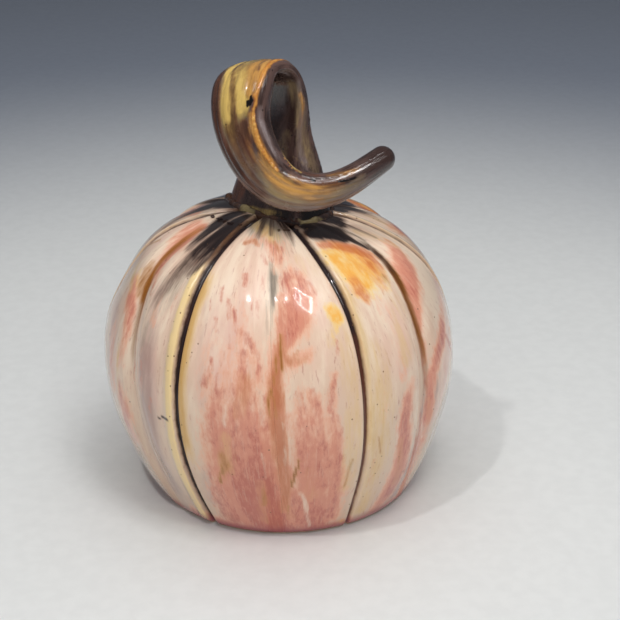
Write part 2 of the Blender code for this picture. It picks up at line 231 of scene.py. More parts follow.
        ((163.6, 47.5, 0.4, 0.4), (164.2, 40.4, 0.4, 0.4)),
        ((169.1, 39.1, 0.5, 0.4), (167.3, 33.3, 0.5, 0.45)),
        ((284, 70, 1.8, 0.5), (279, 66, 2.2, 0.6), (276, 62, 1.8, 0.6)),
        ((283, 50, 1.2, 0.7), (279, 47, 1.5, 0.85), (273, 45, 1.2, 0.75), (268.1, 41.1, 1, 0.6),
         (267, 35, 1.2, 0.65), (266, 27, 1.6, 0.65)),
        ((282.7, 46.4, 0.8, 0.8), (284.2, 42.2, 0.8, 0.7), (286.8, 36.8, 0.8, 0.6)),
        ((255, 39, 1.4, 0.7), (254, 32, 1.8, 0.8), (255, 24, 2.2, 0.85), (256, 16, 2.4, 0.9),
         (255, 8, 2.4, 0.9)),
        ((262.3, 35.3, 1, 0.5), (262, 30, 1.2, 0.6), (263, 24, 1.6, 0.7), (263, 15, 1.8, 0.75)),
        ((243.7, 24.4, 0.6, 0.4), (243.6, 15.8, 0.8, 0.4)),
        ((265.5, 48, 0.6, 0.6), (265.2, 42.7, 0.7, 0.65), (266, 36.8, 0.8, 0.6)),
    ),
    Glaze.TERRACOTTA: (
        ((258.5, 81.3, 0.8, 0.7), (265.4, 78.7, 0.9, 0.75), (269.1, 75.6, 0.9, 0.7)),
        ((268, 73, 1.6, 0.4), (266, 70, 1.6, 0.4)),
        ((214.4, 60, 0.9, 0.7), (214, 56, 1.3, 0.95), (213, 52, 1.5, 1), (212, 49, 1.8, 1),
         (212, 44, 2, 1), (212, 40, 2, 1), (213, 35, 1.9, 1), (213, 28, 1.8, 0.9), (214, 19, 1.7, 0.85),
         (213, 10, 1.5, 0.7)), ((210.7, 48.5, 0.7, 0.7), (210, 43.8, 0.8, 0.7), (210.6, 38.8, 0.7, 0.6)),
        ((214, 54, 1.2, 0.6), (218, 54, 1.3, 0.6), (221, 54, 1.2, 0.55), (224.1, 55.6, 0.8, 0.4)),
        ((218.4, 55.3, 0.6, 0.6), (220.4, 56.6, 0.4, 0.5)),
        ((194.3, 84.8, 0.9, 0.8), (199.4, 86.3, 0.9, 0.75), (203.6, 84.6, 0.6, 0.6)),
        ((215.4, 86.7, 0.5, 0.8), (218.1, 83.1, 0.5, 0.7)),
        ((204.9, 88.2, 0.5, 0.6), (209.8, 90.1, 0.4, 0.6)),
        ((195, 30, 1.4, 0.6), (195, 26, 1.6, 0.7), (192.4, 20.8, 1, 0.6)),
        ((203, 50, 1.4, 0.5), (202, 45, 1.8, 0.6), (201, 41, 1.6, 0.5)),
        ((206, 21, 1.4, 0.5), (205, 13, 1.6, 0.55), (205, 6, 1.4, 0.5)),
        ((214, 15, 1.4, 0.5), (216, 8, 1.4, 0.5)), ((223, 25, 1.6, 0.35), (222, 16, 1.8, 0.4)),
        ((142, 84, 1.6, 0.85), (143, 80, 1.8, 0.9), (146, 77, 1.6, 0.85), (147, 73, 1.2, 0.7)),
        ((253, 27.5, 1, 0.6), (255, 20, 1.2, 0.65), (256, 12, 1.2, 0.6)),
        ((266.7, 34.2, 0.8, 0.5), (267.9, 26.1, 1, 0.55)),
        ((291, 72.5, 0.8, 0.6), (287.3, 69.6, 0.7, 0.5)), ((172, 79, 1.2, 0.5), (171, 75, 1.2, 0.5)),
        ((271, 60.8, 0.5, 0.7), (269.1, 56.3, 0.5, 0.7)),
    ),
    Glaze.MUSTARD: (
        ((237, 60, 2.2, 0.3), (236, 50, 2.2, 0.35), (236, 40, 2.2, 0.4), (236, 30, 2.2, 0.4),
         (235, 18, 2.2, 0.4)),
        ((245, 54, 2.6, 0.4), (245, 45, 3.2, 0.5), (245, 36, 3.4, 0.5), (245, 26, 3.2, 0.5),
         (244, 16, 2.6, 0.5), (244, 6, 2.2, 0.5)),
        ((263, 63, 2.4, 0.25), (259, 56, 2.4, 0.3), (256, 49, 2, 0.3)),
        ((232, 60, 1.2, 0.4), (231, 57, 1, 0.3)),
        ((290.2, 73.5, 1, 0.4), (287, 79, 1.4, 0.45), (284, 83, 1.2, 0.4)),
        ((147.1, 47.3, 0.9, 0.4), (149.5, 41.4, 1, 0.5), (149.8, 36, 0.8, 0.4)),
        ((197, 34, 1.8, 0.3), (195, 25, 2, 0.4)),
        ((189, 94, 2.4, 0.7), (207, 91, 2.4, 0.7), (216, 88, 2, 0.5)),
        ((229, 79, 2.4, 0.2), (231, 76, 2, 0.2)),
        ((131.6, 66.4, 1, 0.4), (136, 63, 1.2, 0.5), (140.6, 60.4, 1, 0.4)),
    ),
    Glaze.AMBER: (
        ((247, 80, 2.2, 0.6), (249, 78, 2.8, 0.8), (250, 75, 3.2, 0.9), (250, 72, 3, 0.9),
         (250, 69, 2.4, 0.8), (250, 66, 1.4, 0.45)),
        ((255, 80, 3, 0.8), (259, 77, 3.6, 0.9), (261, 74, 3.8, 0.85), (262, 71, 3.4, 0.7),
         (262, 68, 2.6, 0.4)),
        ((254, 78, 3, 0.8), (255, 74, 3.4, 0.9), (255, 70, 3.2, 0.85), (254, 67, 2.4, 0.5)),
        ((234, 65, 1.6, 0.7), (235, 63, 1.9, 0.85), (233, 61, 1.4, 0.4), (231, 57.6, 1, 0.2)),
        ((139, 65.3, 1, 0.4), (143.7, 63, 1, 0.45)), ((236, 3.2, 0.8, 0.4), (240.4, 0.6, 0.8, 0.4)),
    ),
    Glaze.ORANGE: (
        ((247.3, 84.4, 0.8, 0.6), (255.3, 83.5, 1.1, 0.8), (262, 81, 1.3, 0.9), (268, 79, 1.3, 0.9),
         (272, 76, 1.2, 0.8), (272.6, 74, 1, 0.6)),
        ((248, 83, 1.4, 0.8), (255, 82, 1.6, 0.9), (260, 80, 1.8, 0.95), (265, 78, 1.8, 0.95),
         (269, 75, 1.8, 0.9), (269, 72, 1.8, 0.7)),
        ((264, 76, 2.2, 0.6), (265, 73, 2.6, 0.75), (263, 70, 2.6, 0.6), (261, 67, 1.8, 0.3)),
        ((256, 76, 1.2, 0.35), (257, 73, 1.4, 0.4)),
        ((249, 71, 1.6, 0.7), (249, 68, 1.8, 0.9), (250, 66, 1.4, 0.75), (250.8, 64.9, 1, 0.5)),
        ((254.7, 81.7, 0.7, 0.5), (262.4, 80.2, 0.7, 0.6), (268.1, 77.8, 0.7, 0.5)),
        ((142.8, 82.5, 1, 0.5), (144.4, 79.2, 1, 0.5)),
    ),
    Glaze.OCHRE: (
        ((142, 69, 1.2, 0.5), (143, 67, 1.8, 0.65), (146, 64, 2, 0.7), (149, 61, 1.6, 0.55)),
        ((214.7, 60.4, 0.25, 0.8), (214.6, 56.8, 0.3, 0.9), (214.4, 53, 0.3, 0.9),
         (213.8, 50.3, 0.25, 0.7)),
        ((213.1, 56.3, 0.25, 0.7), (212.4, 51.7, 0.3, 0.8), (211.4, 47.8, 0.3, 0.6)),
        ((210.7, 46.9, 0.45, 0.8), (210, 43.8, 0.5, 0.85), (210.4, 40, 0.4, 0.6)),
        ((212.2, 45, 0.35, 0.6), (212.1, 40, 0.35, 0.5)),
        ((194.6, 29.2, 1, 0.6), (195, 26, 1.2, 0.75), (193.3, 23.1, 0.9, 0.6)),
        ((192.5, 22.9, 0.4, 0.7), (192, 19.7, 0.5, 0.8)),
        ((218.6, 28.8, 0.35, 0.9), (217.8, 25.6, 0.4, 1), (216.7, 22.3, 0.45, 1), (216, 19.3, 0.4, 0.9)),
        ((206.9, 19.7, 0.5, 0.5), (205.8, 13.1, 0.8, 0.55)),
        ((214.4, 11.8, 0.6, 0.5), (214.4, 6.6, 0.6, 0.4)),
        ((235.6, 27.1, 0.4, 0.5), (234.9, 22.7, 0.5, 0.55), (234.3, 18, 0.4, 0.5)),
        ((265.8, 69.2, 1, 0.5), (264.3, 67.2, 0.8, 0.4)),
        ((244.1, 31.6, 0.3, 0.6), (245.5, 26.3, 0.35, 0.6)),
        ((249.5, 54.1, 0.3, 0.4), (249.9, 48.7, 0.3, 0.4)),
        ((121.9, 69.4, 0.6, 0.6), (128.2, 73.8, 0.6, 0.6)),
    ),
    Glaze.WHITE: (
        ((219, 17.2, 0.6, 0.55), (220.6, 13.6, 0.7, 0.7), (221.4, 9, 0.5, 0.55), (222.5, 3.2, 0.6, 0.65)),
        ((215.6, 46.9, 0.25, 0.5), (215.3, 40, 0.3, 0.6), (215.7, 33.3, 0.25, 0.6),
         (216.4, 25.7, 0.25, 0.45)),
        ((213.8, 38.8, 0.2, 0.4), (214.1, 29, 0.2, 0.4), (214.7, 18.9, 0.2, 0.3)),
        ((214.3, 68.6, 0.3, 0.5), (213.2, 62.5, 0.35, 0.6), (212.6, 58, 0.3, 0.5)),
        ((280, 58, 1.6, 0.7), (275, 55, 1.5, 0.75), (270, 51, 1.2, 0.6), (268.9, 47.5, 0.8, 0.4)),
        ((259, 39.3, 1, 0.6), (260, 32, 1.2, 0.65), (262.5, 25, 0.9, 0.5)),
        ((251.1, 32.7, 0.3, 0.6), (251.7, 26.5, 0.3, 0.5)),
        ((264.7, 27.5, 0.4, 0.6), (266.3, 21.9, 0.4, 0.5)),
        ((274, 42, 1.6, 0.5), (273, 36, 1.6, 0.5), (271, 31, 1.2, 0.4)),
        ((208.1, 43.8, 1, 0.4), (207.4, 38.8, 1, 0.4)), ((197, 43, 0.6, 0.5), (196, 37.9, 0.7, 0.5)),
        ((207.4, 30.5, 0.3, 0.5), (207.4, 22.5, 0.3, 0.5)),
        ((235, 80, 2.6, 0.5), (234, 74, 2.8, 0.5), (234, 69, 2.4, 0.4)),
        ((250, 74.7, 0.8, 0.5), (246.8, 68.8, 0.8, 0.5), (244.8, 63.2, 0.8, 0.4)),
        ((191, 78, 2.4, 0.4), (193, 72, 2.6, 0.4)),
    ),
    Glaze.MAUVE: (
        ((132, 55, 3, 0.5), (140, 47, 3.5, 0.6), (143, 37, 4, 0.7), (137, 22, 4.5, 0.9), (142, 12, 5, 1),
         (145, 0, 5, 1)),
        ((164, 58, 2.6, 0.5), (165, 51, 3.4, 0.75), (166, 42, 3.8, 0.85), (167, 33, 3.8, 0.85),
         (167, 23, 3.8, 0.8), (166, 10, 3.4, 0.7)),
        ((325, 79, 2.5, 0.7), (324, 73, 2.5, 0.7), (320, 68, 2.5, 0.6)),
        ((269, 39, 3, 0.8), (266, 29, 3.6, 0.95), (264, 17, 3.6, 0.95), (261, 8, 3.6, 0.9),
         (256, 3, 3, 0.8)), ((188, 67, 2, 0.25), (190, 55, 2.2, 0.3), (190, 43, 2, 0.3)),
        ((188, 23, 2, 0.5), (186, 12, 2, 0.6)), ((215, 13, 3, 0.3), (195, 8, 3, 0.4)),
    ),
    Glaze.BLUSH: (
        ((206, 84, 3, 0.5), (204, 76, 3.4, 0.5), (202, 68, 3.6, 0.6), (200, 61, 4, 0.7),
         (198, 54, 4.4, 0.7), (197, 48, 4.4, 0.7)),
        ((192, 68, 3, 0.5), (192, 59, 3.4, 0.6), (191, 51, 3.4, 0.6), (191, 44, 3, 0.5)),
        ((228, 79, 2.6, 0.5), (230, 70, 2.4, 0.5), (229, 63, 2.4, 0.4)),
        ((226, 56, 2.6, 0.3), (226, 49, 2.6, 0.35)),
        ((161, 65, 3, 0.6), (164, 58, 3, 0.6), (167, 49, 3, 0.6), (170, 40, 3, 0.55)),
        ((259, 61, 3, 0.45), (257, 54, 3, 0.5), (254, 47, 3, 0.5)),
        ((252, 57, 2.5, 0.3), (250, 48, 2.5, 0.3)),
        ((299, 58, 3, 0.7), (290, 52, 3, 0.7), (280, 43, 3, 0.8), (274, 36, 3, 0.8), (270, 28, 3, 0.7)),
        ((310, 58, 2, 0.6), (313, 62, 2, 0.5)), ((129, 54, 3, 0.6), (139, 48, 3, 0.6), (146, 40, 3, 0.6)),
        ((122, 80, 2.4, 0.5), (128, 74, 2.4, 0.5), (130, 68, 2.2, 0.5)),
        ((235, 33, 2, 0.2), (236, 23, 2, 0.2)),
    ),
    Glaze.RUSSET: (
        ((240, 57, 1.6, 0.4), (239, 49, 1.6, 0.8), (240, 40, 1.6, 1), (240, 29, 1.6, 1),
         (240, 15, 1.8, 1), (240, 3, 2, 1)), ((248, 74, 1.4, 0.2), (244, 66, 1.4, 0.3)),
        ((174, 74, 1.2, 0.5), (176, 68, 1.2, 0.35), (178, 61, 1.2, 0.3)),
    ),
    Glaze.CREASE_DARK: (
        ((276, 77, 3, 0.8), (278, 75, 3, 0.95), (280, 73, 3, 0.95), (277, 70, 3, 0.85), (273, 68, 3, 0.6),
         (270, 65, 3, 0.5), (268, 62, 3, 0.45), (267, 58, 3, 0.4), (266, 54, 3, 0.3), (266, 50, 3, 0.15)),
    ),
    Glaze.CREASE_OCHRE: (
        ((136, 82, 3, 0.6), (140, 78, 3, 0.85), (142, 74, 3, 0.95), (142, 71, 3, 1), (144, 68, 3, 1),
         (146, 66, 3, 1), (150, 63, 3, 1), (154, 61, 3, 0.95), (156, 57, 3, 0.8), (157, 53, 3, 0.6),
         (157, 49, 3, 0.4), (158, 45, 3, 0.1)),
        ((279, 73, 3, 0.6), (277, 70, 3, 0.9), (273, 68, 3, 1), (268, 62, 3, 1), (266, 54, 3, 1),
         (266, 48, 3, 0.85), (265, 44, 3, 0.6), (265, 39, 3, 0.4), (266, 33, 3, 0.15)),
    ),
}

# Each stroke is a row of points: share of the way to the tip, turn round the strap in degrees, where 0 is
# its front edge and 90 its outer face, then half width in millimetres, and strength.
STEM_STROKES: dict[Glaze, Brushed] = {
    # painted highlights: these strokes lay a pale bluish sheen on the strap where light glints off it
    Glaze.SLATE: (
        ((0.7, 152, 2, 0.2), (0.76, 148, 2.5, 0.35), (0.82, 138, 2.5, 0.4), (0.87, 125, 2.5, 0.45),
         (0.93, 115, 2, 0.3), (0.98, 100, 1.8, 0.15)),
        ((0.61, 24, 0.9, 0.5), (0.65, 22, 1.2, 0.8), (0.69, 16, 1.3, 0.8), (0.73, 14, 1.1, 0.6),
         (0.77, 14, 0.9, 0.3)),
        ((0.06, 350, 1.4, 0.5), (0.12, 346, 1.4, 0.6), (0.17, 340, 1.2, 0.5), (0.24, 334, 1.2, 0.4)),
        ((0.36, 322, 0.9, 0.6), (0.4, 326, 1.1, 0.8), (0.44, 338, 0.9, 0.7), (0.47, 350, 0.6, 0.5)),
        ((0.56, 132, 1.4, 0.3), (0.66, 134, 1.6, 0.4), (0.72, 128, 1.8, 0.5)),
    ),
    Glaze.OLIVE: (
        ((0.45, 112, 1.6, 0.8), (0.52, 108, 1.6, 0.8), (0.59, 104, 1.6, 0.8), (0.65, 100, 1.6, 0.8),
         (0.71, 96, 1.5, 0.7), (0.77, 92, 1.4, 0.6), (0.83, 92, 1.4, 0.7), (0.89, 92, 1.4, 0.6)),
        ((0.45, 84, 1.6, 0.8), (0.52, 80, 1.6, 0.8), (0.6, 76, 1.6, 0.8), (0.66, 76, 1.4, 0.6)),
        ((0.08, 6, 1.6, 0.6), (0.14, 0, 1.4, 0.7), (0.2, 352, 1.2, 0.6), (0.26, 350, 1.2, 0.5)),
        ((0.04, 285, 2, 0.5), (0.1, 295, 2, 0.6), (0.18, 300, 1.5, 0.4)),
        ((0.14, 346, 1.6, 0.6), (0.2, 338, 1.8, 0.7), (0.26, 326, 1.8, 0.7), (0.31, 312, 1.8, 0.6)),
        ((0.72, 78, 2, 0.6), (0.78, 80, 2.2, 0.8), (0.84, 82, 2.2, 0.9), (0.9, 78, 1.8, 0.8),
         (0.95, 72, 1.4, 0.5)), ((0.77, 112, 1.8, 0.5), (0.85, 104, 1.8, 0.6), (0.92, 92, 1.4, 0.5)),
        ((0.06, 100, 3, 0.5), (0.16, 104, 2.4, 0.7), (0.28, 106, 2, 0.8), (0.4, 108, 1.8, 0.8)),
    ),
    Glaze.YELLOW: (
        ((0.466, 118, 1.3, 0.9), (0.536, 100, 1.3, 1), (0.581, 98, 1.4, 1), (0.617, 98, 1.3, 1),
         (0.647, 97, 1.1, 0.9), (0.672, 95, 0.8, 0.6)),
        ((0.469, 86, 1.2, 0.7), (0.531, 80, 1.3, 1), (0.571, 80, 1.4, 1), (0.614, 78, 1.1, 1),
         (0.634, 76, 0.8, 0.6)), ((0.571, 66, 1.2, 0.8), (0.602, 68, 1.2, 0.9), (0.622, 70, 1, 0.7)),
        ((0.739, 60, 0.8, 0.5), (0.764, 56, 1, 0.7), (0.794, 54, 1.2, 0.7)),
        ((0.79, 88, 0.7, 0.6), (0.82, 86, 0.9, 0.7), (0.86, 84, 0.7, 0.5)),
        ((0.108, 356, 0.5, 0.5), (0.12, 342, 0.5, 0.4), (0.133, 324, 0.4, 0.3)),
        ((0.799, 60, 1.2, 0.5), (0.822, 50, 1.2, 0.5)),
        ((0.16, 108, 1.2, 0.4), (0.26, 110, 1.3, 0.8), (0.36, 112, 1.3, 0.9), (0.45, 116, 1.3, 0.9)),
        ((0.24, 86, 1, 0.5), (0.34, 84, 1.2, 0.8), (0.46, 86, 1.2, 0.8)),
        ((0.745, 348, 0.5, 0.8), (0.78, 346, 0.5, 0.9), (0.81, 350, 0.6, 0.9), (0.84, 356, 0.6, 0.8)),
        ((0.01, 262, 0.8, 0.6), (0.012, 285, 1, 0.7), (0.012, 300, 0.8, 0.5)),
    ),
    Glaze.AMBER: (
        ((0.459, 74, 1.3, 0.8), (0.521, 66, 1.3, 0.8), (0.556, 66, 1.2, 0.8), (0.576, 58, 1, 0.8)),
        ((0.429, 56, 1.2, 0.9), (0.499, 44, 1.3, 1), (0.541, 46, 1.2, 0.9), (0.579, 46, 0.9, 0.8)),
        ((0.624, 54, 0.9, 0.8), (0.644, 52, 1, 0.9), (0.682, 48, 1, 0.9), (0.712, 46, 1, 0.9),
         (0.744, 42, 1, 0.8), (0.774, 46, 0.9, 0.8)),
        ((0.815, 30, 1, 0.5), (0.847, 40, 1.3, 0.8), (0.872, 56, 1.6, 0.9), (0.89, 66, 1.4, 0.7),
         (0.907, 62, 1, 0.4)), ((0.84, 64, 1.6, 0.7), (0.862, 76, 1.4, 0.8), (0.88, 80, 1.2, 0.6)),
        ((0.72, 62, 1.2, 0.6), (0.78, 66, 1.6, 0.85), (0.83, 68, 1.8, 0.9), (0.88, 60, 1.6, 0.8),
         (0.92, 46, 1, 0.4)), ((0.52, 58, 1.6, 0.9), (0.57, 60, 1.4, 0.8)),
        ((0.206, 332, 0.6, 0.5), (0.231, 340, 0.8, 0.6), (0.258, 344, 0.9, 0.7), (0.283, 334, 0.9, 0.8)),
        ((0.654, 60, 0.8, 0.7), (0.679, 72, 0.8, 0.6), (0.704, 76, 0.8, 0.5), (0.729, 74, 0.7, 0.5)),
        ((0.028, 236, 0.8, 0.6), (0.045, 236, 0.8, 0.4)),
        ((0.902, 6, 0.8, 0.5), (0.922, 10, 0.9, 0.6), (0.94, 18, 0.8, 0.6), (0.955, 24, 0.6, 0.4)),
        ((0.1, 60, 1.2, 0.6), (0.22, 62, 1.2, 0.8), (0.34, 64, 1.3, 0.8), (0.45, 70, 1.3, 0.8)),
        ((0.05, 130, 1.5, 0.5), (0.18, 132, 1.2, 0.6), (0.3, 134, 1, 0.5)),
    ),
    Glaze.ORANGE: (
        ((0.393, 44, 0.6, 1), (0.426, 34, 0.7, 1), (0.469, 34, 0.8, 1), (0.516, 38, 0.8, 1),
         (0.549, 42, 0.7, 0.9)),
        ((0.549, 42, 0.5, 0.9), (0.574, 48, 0.5, 0.9), (0.589, 42, 0.5, 0.9), (0.624, 48, 0.5, 1)),
        ((0.624, 48, 0.6, 1), (0.654, 46, 0.6, 1), (0.689, 48, 0.7, 1), (0.719, 46, 0.7, 1),
         (0.754, 44, 0.6, 1), (0.779, 46, 0.5, 0.9)),
        ((0.531, 126, 0.6, 0.4), (0.571, 120, 0.6, 0.4), (0.602, 120, 0.6, 0.4)),
        ((0.22, 48, 0.5, 0.6), (0.3, 50, 0.6, 0.9), (0.393, 46, 0.6, 1)),
        ((0.003, 222, 0.5, 0.6), (0.03, 226, 0.5, 0.5), (0.06, 228, 0.4, 0.4)),
    ),
    Glaze.BROWN: (
        ((0.5, 150, 2, 0.8), (0.6, 146, 2.2, 0.9), (0.7, 140, 2, 0.8), (0.76, 132, 1.8, 0.5)),
        ((0.514, 132, 0.9, 0.8), (0.564, 126, 1.1, 0.9), (0.596, 124, 1.1, 0.9), (0.627, 120, 1, 0.9),
         (0.647, 118, 0.9, 0.7)),
        ((0.479, 104, 0.4, 0.6), (0.536, 94, 0.4, 0.8), (0.584, 90, 0.4, 0.8), (0.624, 88, 0.4, 0.8),
         (0.657, 88, 0.4, 0.7)), ((0.642, 72, 1, 0.8), (0.659, 72, 1.1, 0.8), (0.682, 70, 0.9, 0.6)),
        ((0.471, 100, 0.9, 0.5), (0.524, 90, 0.8, 0.4)),
        ((0.805, 340, 0.7, 0.5), (0.832, 342, 0.8, 0.7), (0.862, 352, 0.9, 0.7), (0.882, 0, 0.8, 0.6)),
        ((0.84, 24, 1, 0.6), (0.88, 30, 1, 0.7), (0.92, 34, 1, 0.6)),
        ((0, 236, 3, 0.8), (0.04, 240, 2.6, 0.8), (0.08, 244, 2, 0.6)),
        ((0.645, 92, 1.6, 0.7), (0.69, 88, 1.8, 0.7), (0.74, 92, 1.6, 0.5)),
        ((0.62, 134, 1.6, 0.8), (0.67, 128, 2.2, 0.9), (0.72, 120, 2.4, 0.9), (0.77, 116, 2.2, 0.6)),
    ),
    Glaze.DARK: (
        ((0.58, 58, 0.3, 1), (0.59, 55, 0.5, 1), (0.6, 58, 0.4, 1)),
        ((0.592, 64, 0.3, 1), (0.604, 63, 0.3, 1)), ((0.916, 38, 0.3, 0.8), (0.926, 42, 0.4, 0.9)),
        ((0.932, 45, 0.3, 0.9), (0.944, 50, 0.3, 0.8)), ((0.868, 20, 0.4, 0.9), (0.874, 22, 0.4, 0.9)),
        # painted shadow: these three strokes darken the root all round where it meets the crown
        ((0, 350, 5, 0.9), (0.05, 350, 4, 0.8), (0.1, 350, 2.5, 0.4)),
        ((0, 30, 5, 0.9), (0.05, 28, 4, 0.8), (0.1, 24, 2.5, 0.4)),
        ((0, 305, 4, 0.7), (0.05, 308, 3, 0.5), (0.08, 310, 2, 0.3)),
    ),
}


def tone(red: int, green: int, blue: int) -> Colour:
    """A colour as the eye names it, 0 to 255, turned into linear light."""
    shares = [v / 255 for v in (red, green, blue)]
    return tuple(v / 12.92 if v <= 0.04045 else ((v + 0.055) / 1.055) ** 2.4 for v in shares)


def spline(values: tuple, at: Grid) -> Grid:
    """Reads a natural cubic spline through rows of values.

    Args:
        values: Rows of one or more numbers, at even steps.
        at: Where to read, 0 at the first row and 1 at the last.

    Returns:
        One row of numbers for each place.
    """
    knots = np.asarray(values, float).reshape(len(values), -1)
    last = len(knots) - 1
    rule = np.eye(last + 1)
    pull = np.zeros_like(knots)
    for i in range(1, last):
        rule[i, i - 1 : i + 2] = 1, 4, 1
        pull[i] = 6 * (knots[i + 1] - 2 * knots[i] + knots[i - 1])
    bend = np.linalg.solve(rule, pull)
    at = np.asarray(at, float) * last
    i = np.clip(at.astype(int), 0, last - 1)
    after = (at - i)[:, None]
    before = 1 - after
    straight = before * knots[i] + after * knots[i + 1]
    return straight + ((before**3 - before) * bend[i] + (after**3 - after) * bend[i + 1]) / 6


def hill(distance: Grid, half: float) -> Grid:
    """A smooth bump that is 1 at no distance and fades past half."""
    return np.exp(-((distance / half) ** 2))


def ramp(value: Grid, start: float, end: float) -> Grid:
    """A straight rise from 0 at start to 1 at end."""
    return np.clip((value - start) / (end - start), 0, 1)


def step(value: Grid, start: float, end: float) -> Grid:
    """A smooth step from 0 at start to 1 at end."""
    share = ramp(value, start, end)
    return share * share * (3 - 2 * share)


def unit(rows: Grid) -> Grid:
    """Scales each row to length 1."""
    return rows / np.linalg.norm(rows, axis=-1, keepdims=True)


def distance_up(profile: Grid) -> Grid:
    """Distance along a row of points from the first one."""
    return np.concatenate([[0.0], np.cumsum(np.linalg.norm(np.diff(profile, axis=0), axis=1))])


def brushed(strokes: Brushed, around: Grid, up: Grid, per_degree: Grid) -> Grid:
    """Lays strokes on a surface.

    Args:
        strokes: Rows of (degrees round, distance up, half width, strength) points.
        around: Degrees round the surface at each point.
        up: Distance up the surface at each point, in millimetres.
        per_degree: Millimetres to a degree at each point.

    Returns:
        How thick the glaze is at each point, from 0 to 1: the strongest stroke counts.
    """
    thick = np.zeros_like(around)
    for stroke in strokes:
        for start, end in zip(stroke, stroke[1:]):
            east = (around - start[0] + 180) % 360 - 180
            north = up - start[1]
            reach = ((end[0] - start[0] + 180) % 360 - 180) * per_degree
            rise = end[1] - start[1]
            span = reach**2 + rise**2 + 1e-9
            share = np.clip((east * per_degree * reach + north * rise) / span, 0, 1)
            off = np.hypot(east * per_degree - share * reach, north - share * rise)
            half = start[2] + (end[2] - start[2]) * share
            strength = start[3] + (end[3] - start[3]) * share
            thick = np.maximum(thick, strength * np.clip(1.5 - off / half, 0, 1))
    return thick


def mirrored(strokes: Brushed, centre: float, start: float) -> Brushed:
    """Mirrors the strokes of the panel that starts at an angle, for a panel that the photo hides.

    Args:
        strokes: Strokes of the whole body.
        centre: The degrees of the line that they are mirrored about.
        start: Where the panel starts. Strokes that come too close to its grooves are left out.

    Returns:
        The mirrored strokes.
    """
    clear, panel = 3, 60
    inside = (s for s in strokes if all(start + clear < p[0] < start + panel - clear for p in s))
    return tuple(tuple((2 * centre - p[0], *p[1:]) for p in s) for s in inside)


def rolled_sheet(name: str, points: Grid, slots: Grid) -> Piece:
    """Lays a grid out as a sheet and rolls it up to the points.

    Args:
        name: The new object's name.
        points: Places in millimetres, rows by columns by 3. The last column repeats the first one, and
            the first and the last row each lie in one point.
        slots: The material index of each row of faces.

    Returns:
        A mesh object at the origin, still open at its seam.
    """
    rows, columns, _ = points.shape
    bpy.ops.object.select_all(action="DESELECT")
    bpy.ops.mesh.primitive_grid_add(x_subdivisions=columns - 1, y_subdivisions=rows - 1, size=1)
    sheet = bpy.context.object
    sheet.name = sheet.data.name = name
    sheet.data.vertices.foreach_set("co", (points * MM).astype(np.float32).ravel())
    sheet.data.polygons.foreach_set("material_index", np.repeat(slots, columns - 1).astype(np.int32))
    return sheet


def sewn(sheet: Piece) -> None:
    """Merges what meets at a sheet's seam and poles, and turns its faces outwards.

    Args:
        sheet: The sheet, already bent to its shape.
    """
    bpy.ops.object.select_all(action="DESELECT")
    sheet.select_set(True)
    bpy.context.view_layer.objects.active = sheet
    bpy.ops.object.mode_set(mode="EDIT")
    bpy.ops.mesh.select_all(action="SELECT")
    bpy.ops.mesh.remove_doubles(threshold=1e-7)
    bpy.ops.mesh.normals_make_consistent(inside=False)
    bpy.ops.object.mode_set(mode="OBJECT")
    bpy.ops.object.shade_smooth()


def painted(sheet: Piece, name: str, values: Grid) -> None:
    """Stores a number or a vector for each point of a sheet.

    Args:
        sheet: The sheet, before it is sewn.
        name: What the glaze calls them.
        values: The grid of numbers or vectors.
    """
    kind, key = ("FLOAT_VECTOR", "vector") if values.ndim == 3 else ("FLOAT", "value")
    attribute = sheet.data.attributes.new(name, kind, "POINT")
    attribute.data.foreach_set(key, values.astype(np.float32).ravel())


class Graph:
    """A node tree being wired, with each node's inputs given by name."""

    def __init__(self, tree: Tree) -> None:
        """Starts on a tree that may already hold nodes."""
        self.tree = tree

    def node(self, kind: str, inputs: dict[str | int, object] | None = None, **settings) -> Node:
        """Adds a node.

        Args:
            kind: The shader node's type without its prefix.
            inputs: Values or sockets for its inputs, by name or place.
            settings: Properties of the node.

        Returns:
            The new node.
        """
        node = self.tree.nodes.new("ShaderNode" + kind)
        for key, value in settings.items():
            setattr(node, key, value)
        return self.fed(node, inputs or {})

    def fed(self, node: Node, inputs: dict[str | int, object]) -> Node:
        """Links or sets a node's inputs.

        Args:
            node: The node.
            inputs: Values or sockets for its inputs, by name or place.

        Returns:
            The same node.
        """
        for key, value in inputs.items():
            socket = node.inputs[key]
            if isinstance(value, Socket):
                self.tree.links.new(value, socket)
            else:
                bare = socket.type == "RGBA" and len(value) == 3
                socket.default_value = (*value, 1) if bare else value
        return node

    def math(self, kind: str, *values: Value) -> Socket:
        """One arithmetic node."""
        return self.node("Math", dict(enumerate(values)), operation=kind).outputs[0]

    def smooth(self, value: Value, start: Value, end: Value, low: float = 0, high: float = 1) -> Socket:
        """A smooth step of a value between start and end, from low to high."""
        inputs = {"Value": value, "From Min": start, "From Max": end, "To Min": low, "To Max": high}
        return self.node("MapRange", inputs, interpolation_type="SMOOTHSTEP").outputs["Result"]

    def mix(self, share: Value, first: object, second: object) -> Socket:
        """A mix of two colours."""
        return self.node("Mix", {0: share, 6: first, 7: second}, data_type="RGBA").outputs[2]

    def number(self, name: str) -> Socket:
        """A number stored on the surface."""
        return self.node("Attribute", attribute_name=name).outputs["Fac"]

    def vector(self, name: str) -> Socket:
        """A vector stored on the surface."""
        return self.node("Attribute", attribute_name=name).outputs["Vector"]

    def place(self) -> Socket:
        """The object's own coordinates in millimetres."""
        coordinates = self.node("TexCoord").outputs["Object"]
        return self.node("VectorMath", {0: coordinates, "Scale": 1 / MM}, operation="SCALE").outputs[0]

    def group(self, tree: Tree, **inputs) -> Node:
        """Places a node group.

        Args:
            tree: The node group.
            inputs: Values or sockets for its inputs, by name.

        Returns:
            The new node.
        """
        node = self.tree.nodes.new("ShaderNodeGroup")
        node.node_tree = tree
        return self.fed(node, inputs)


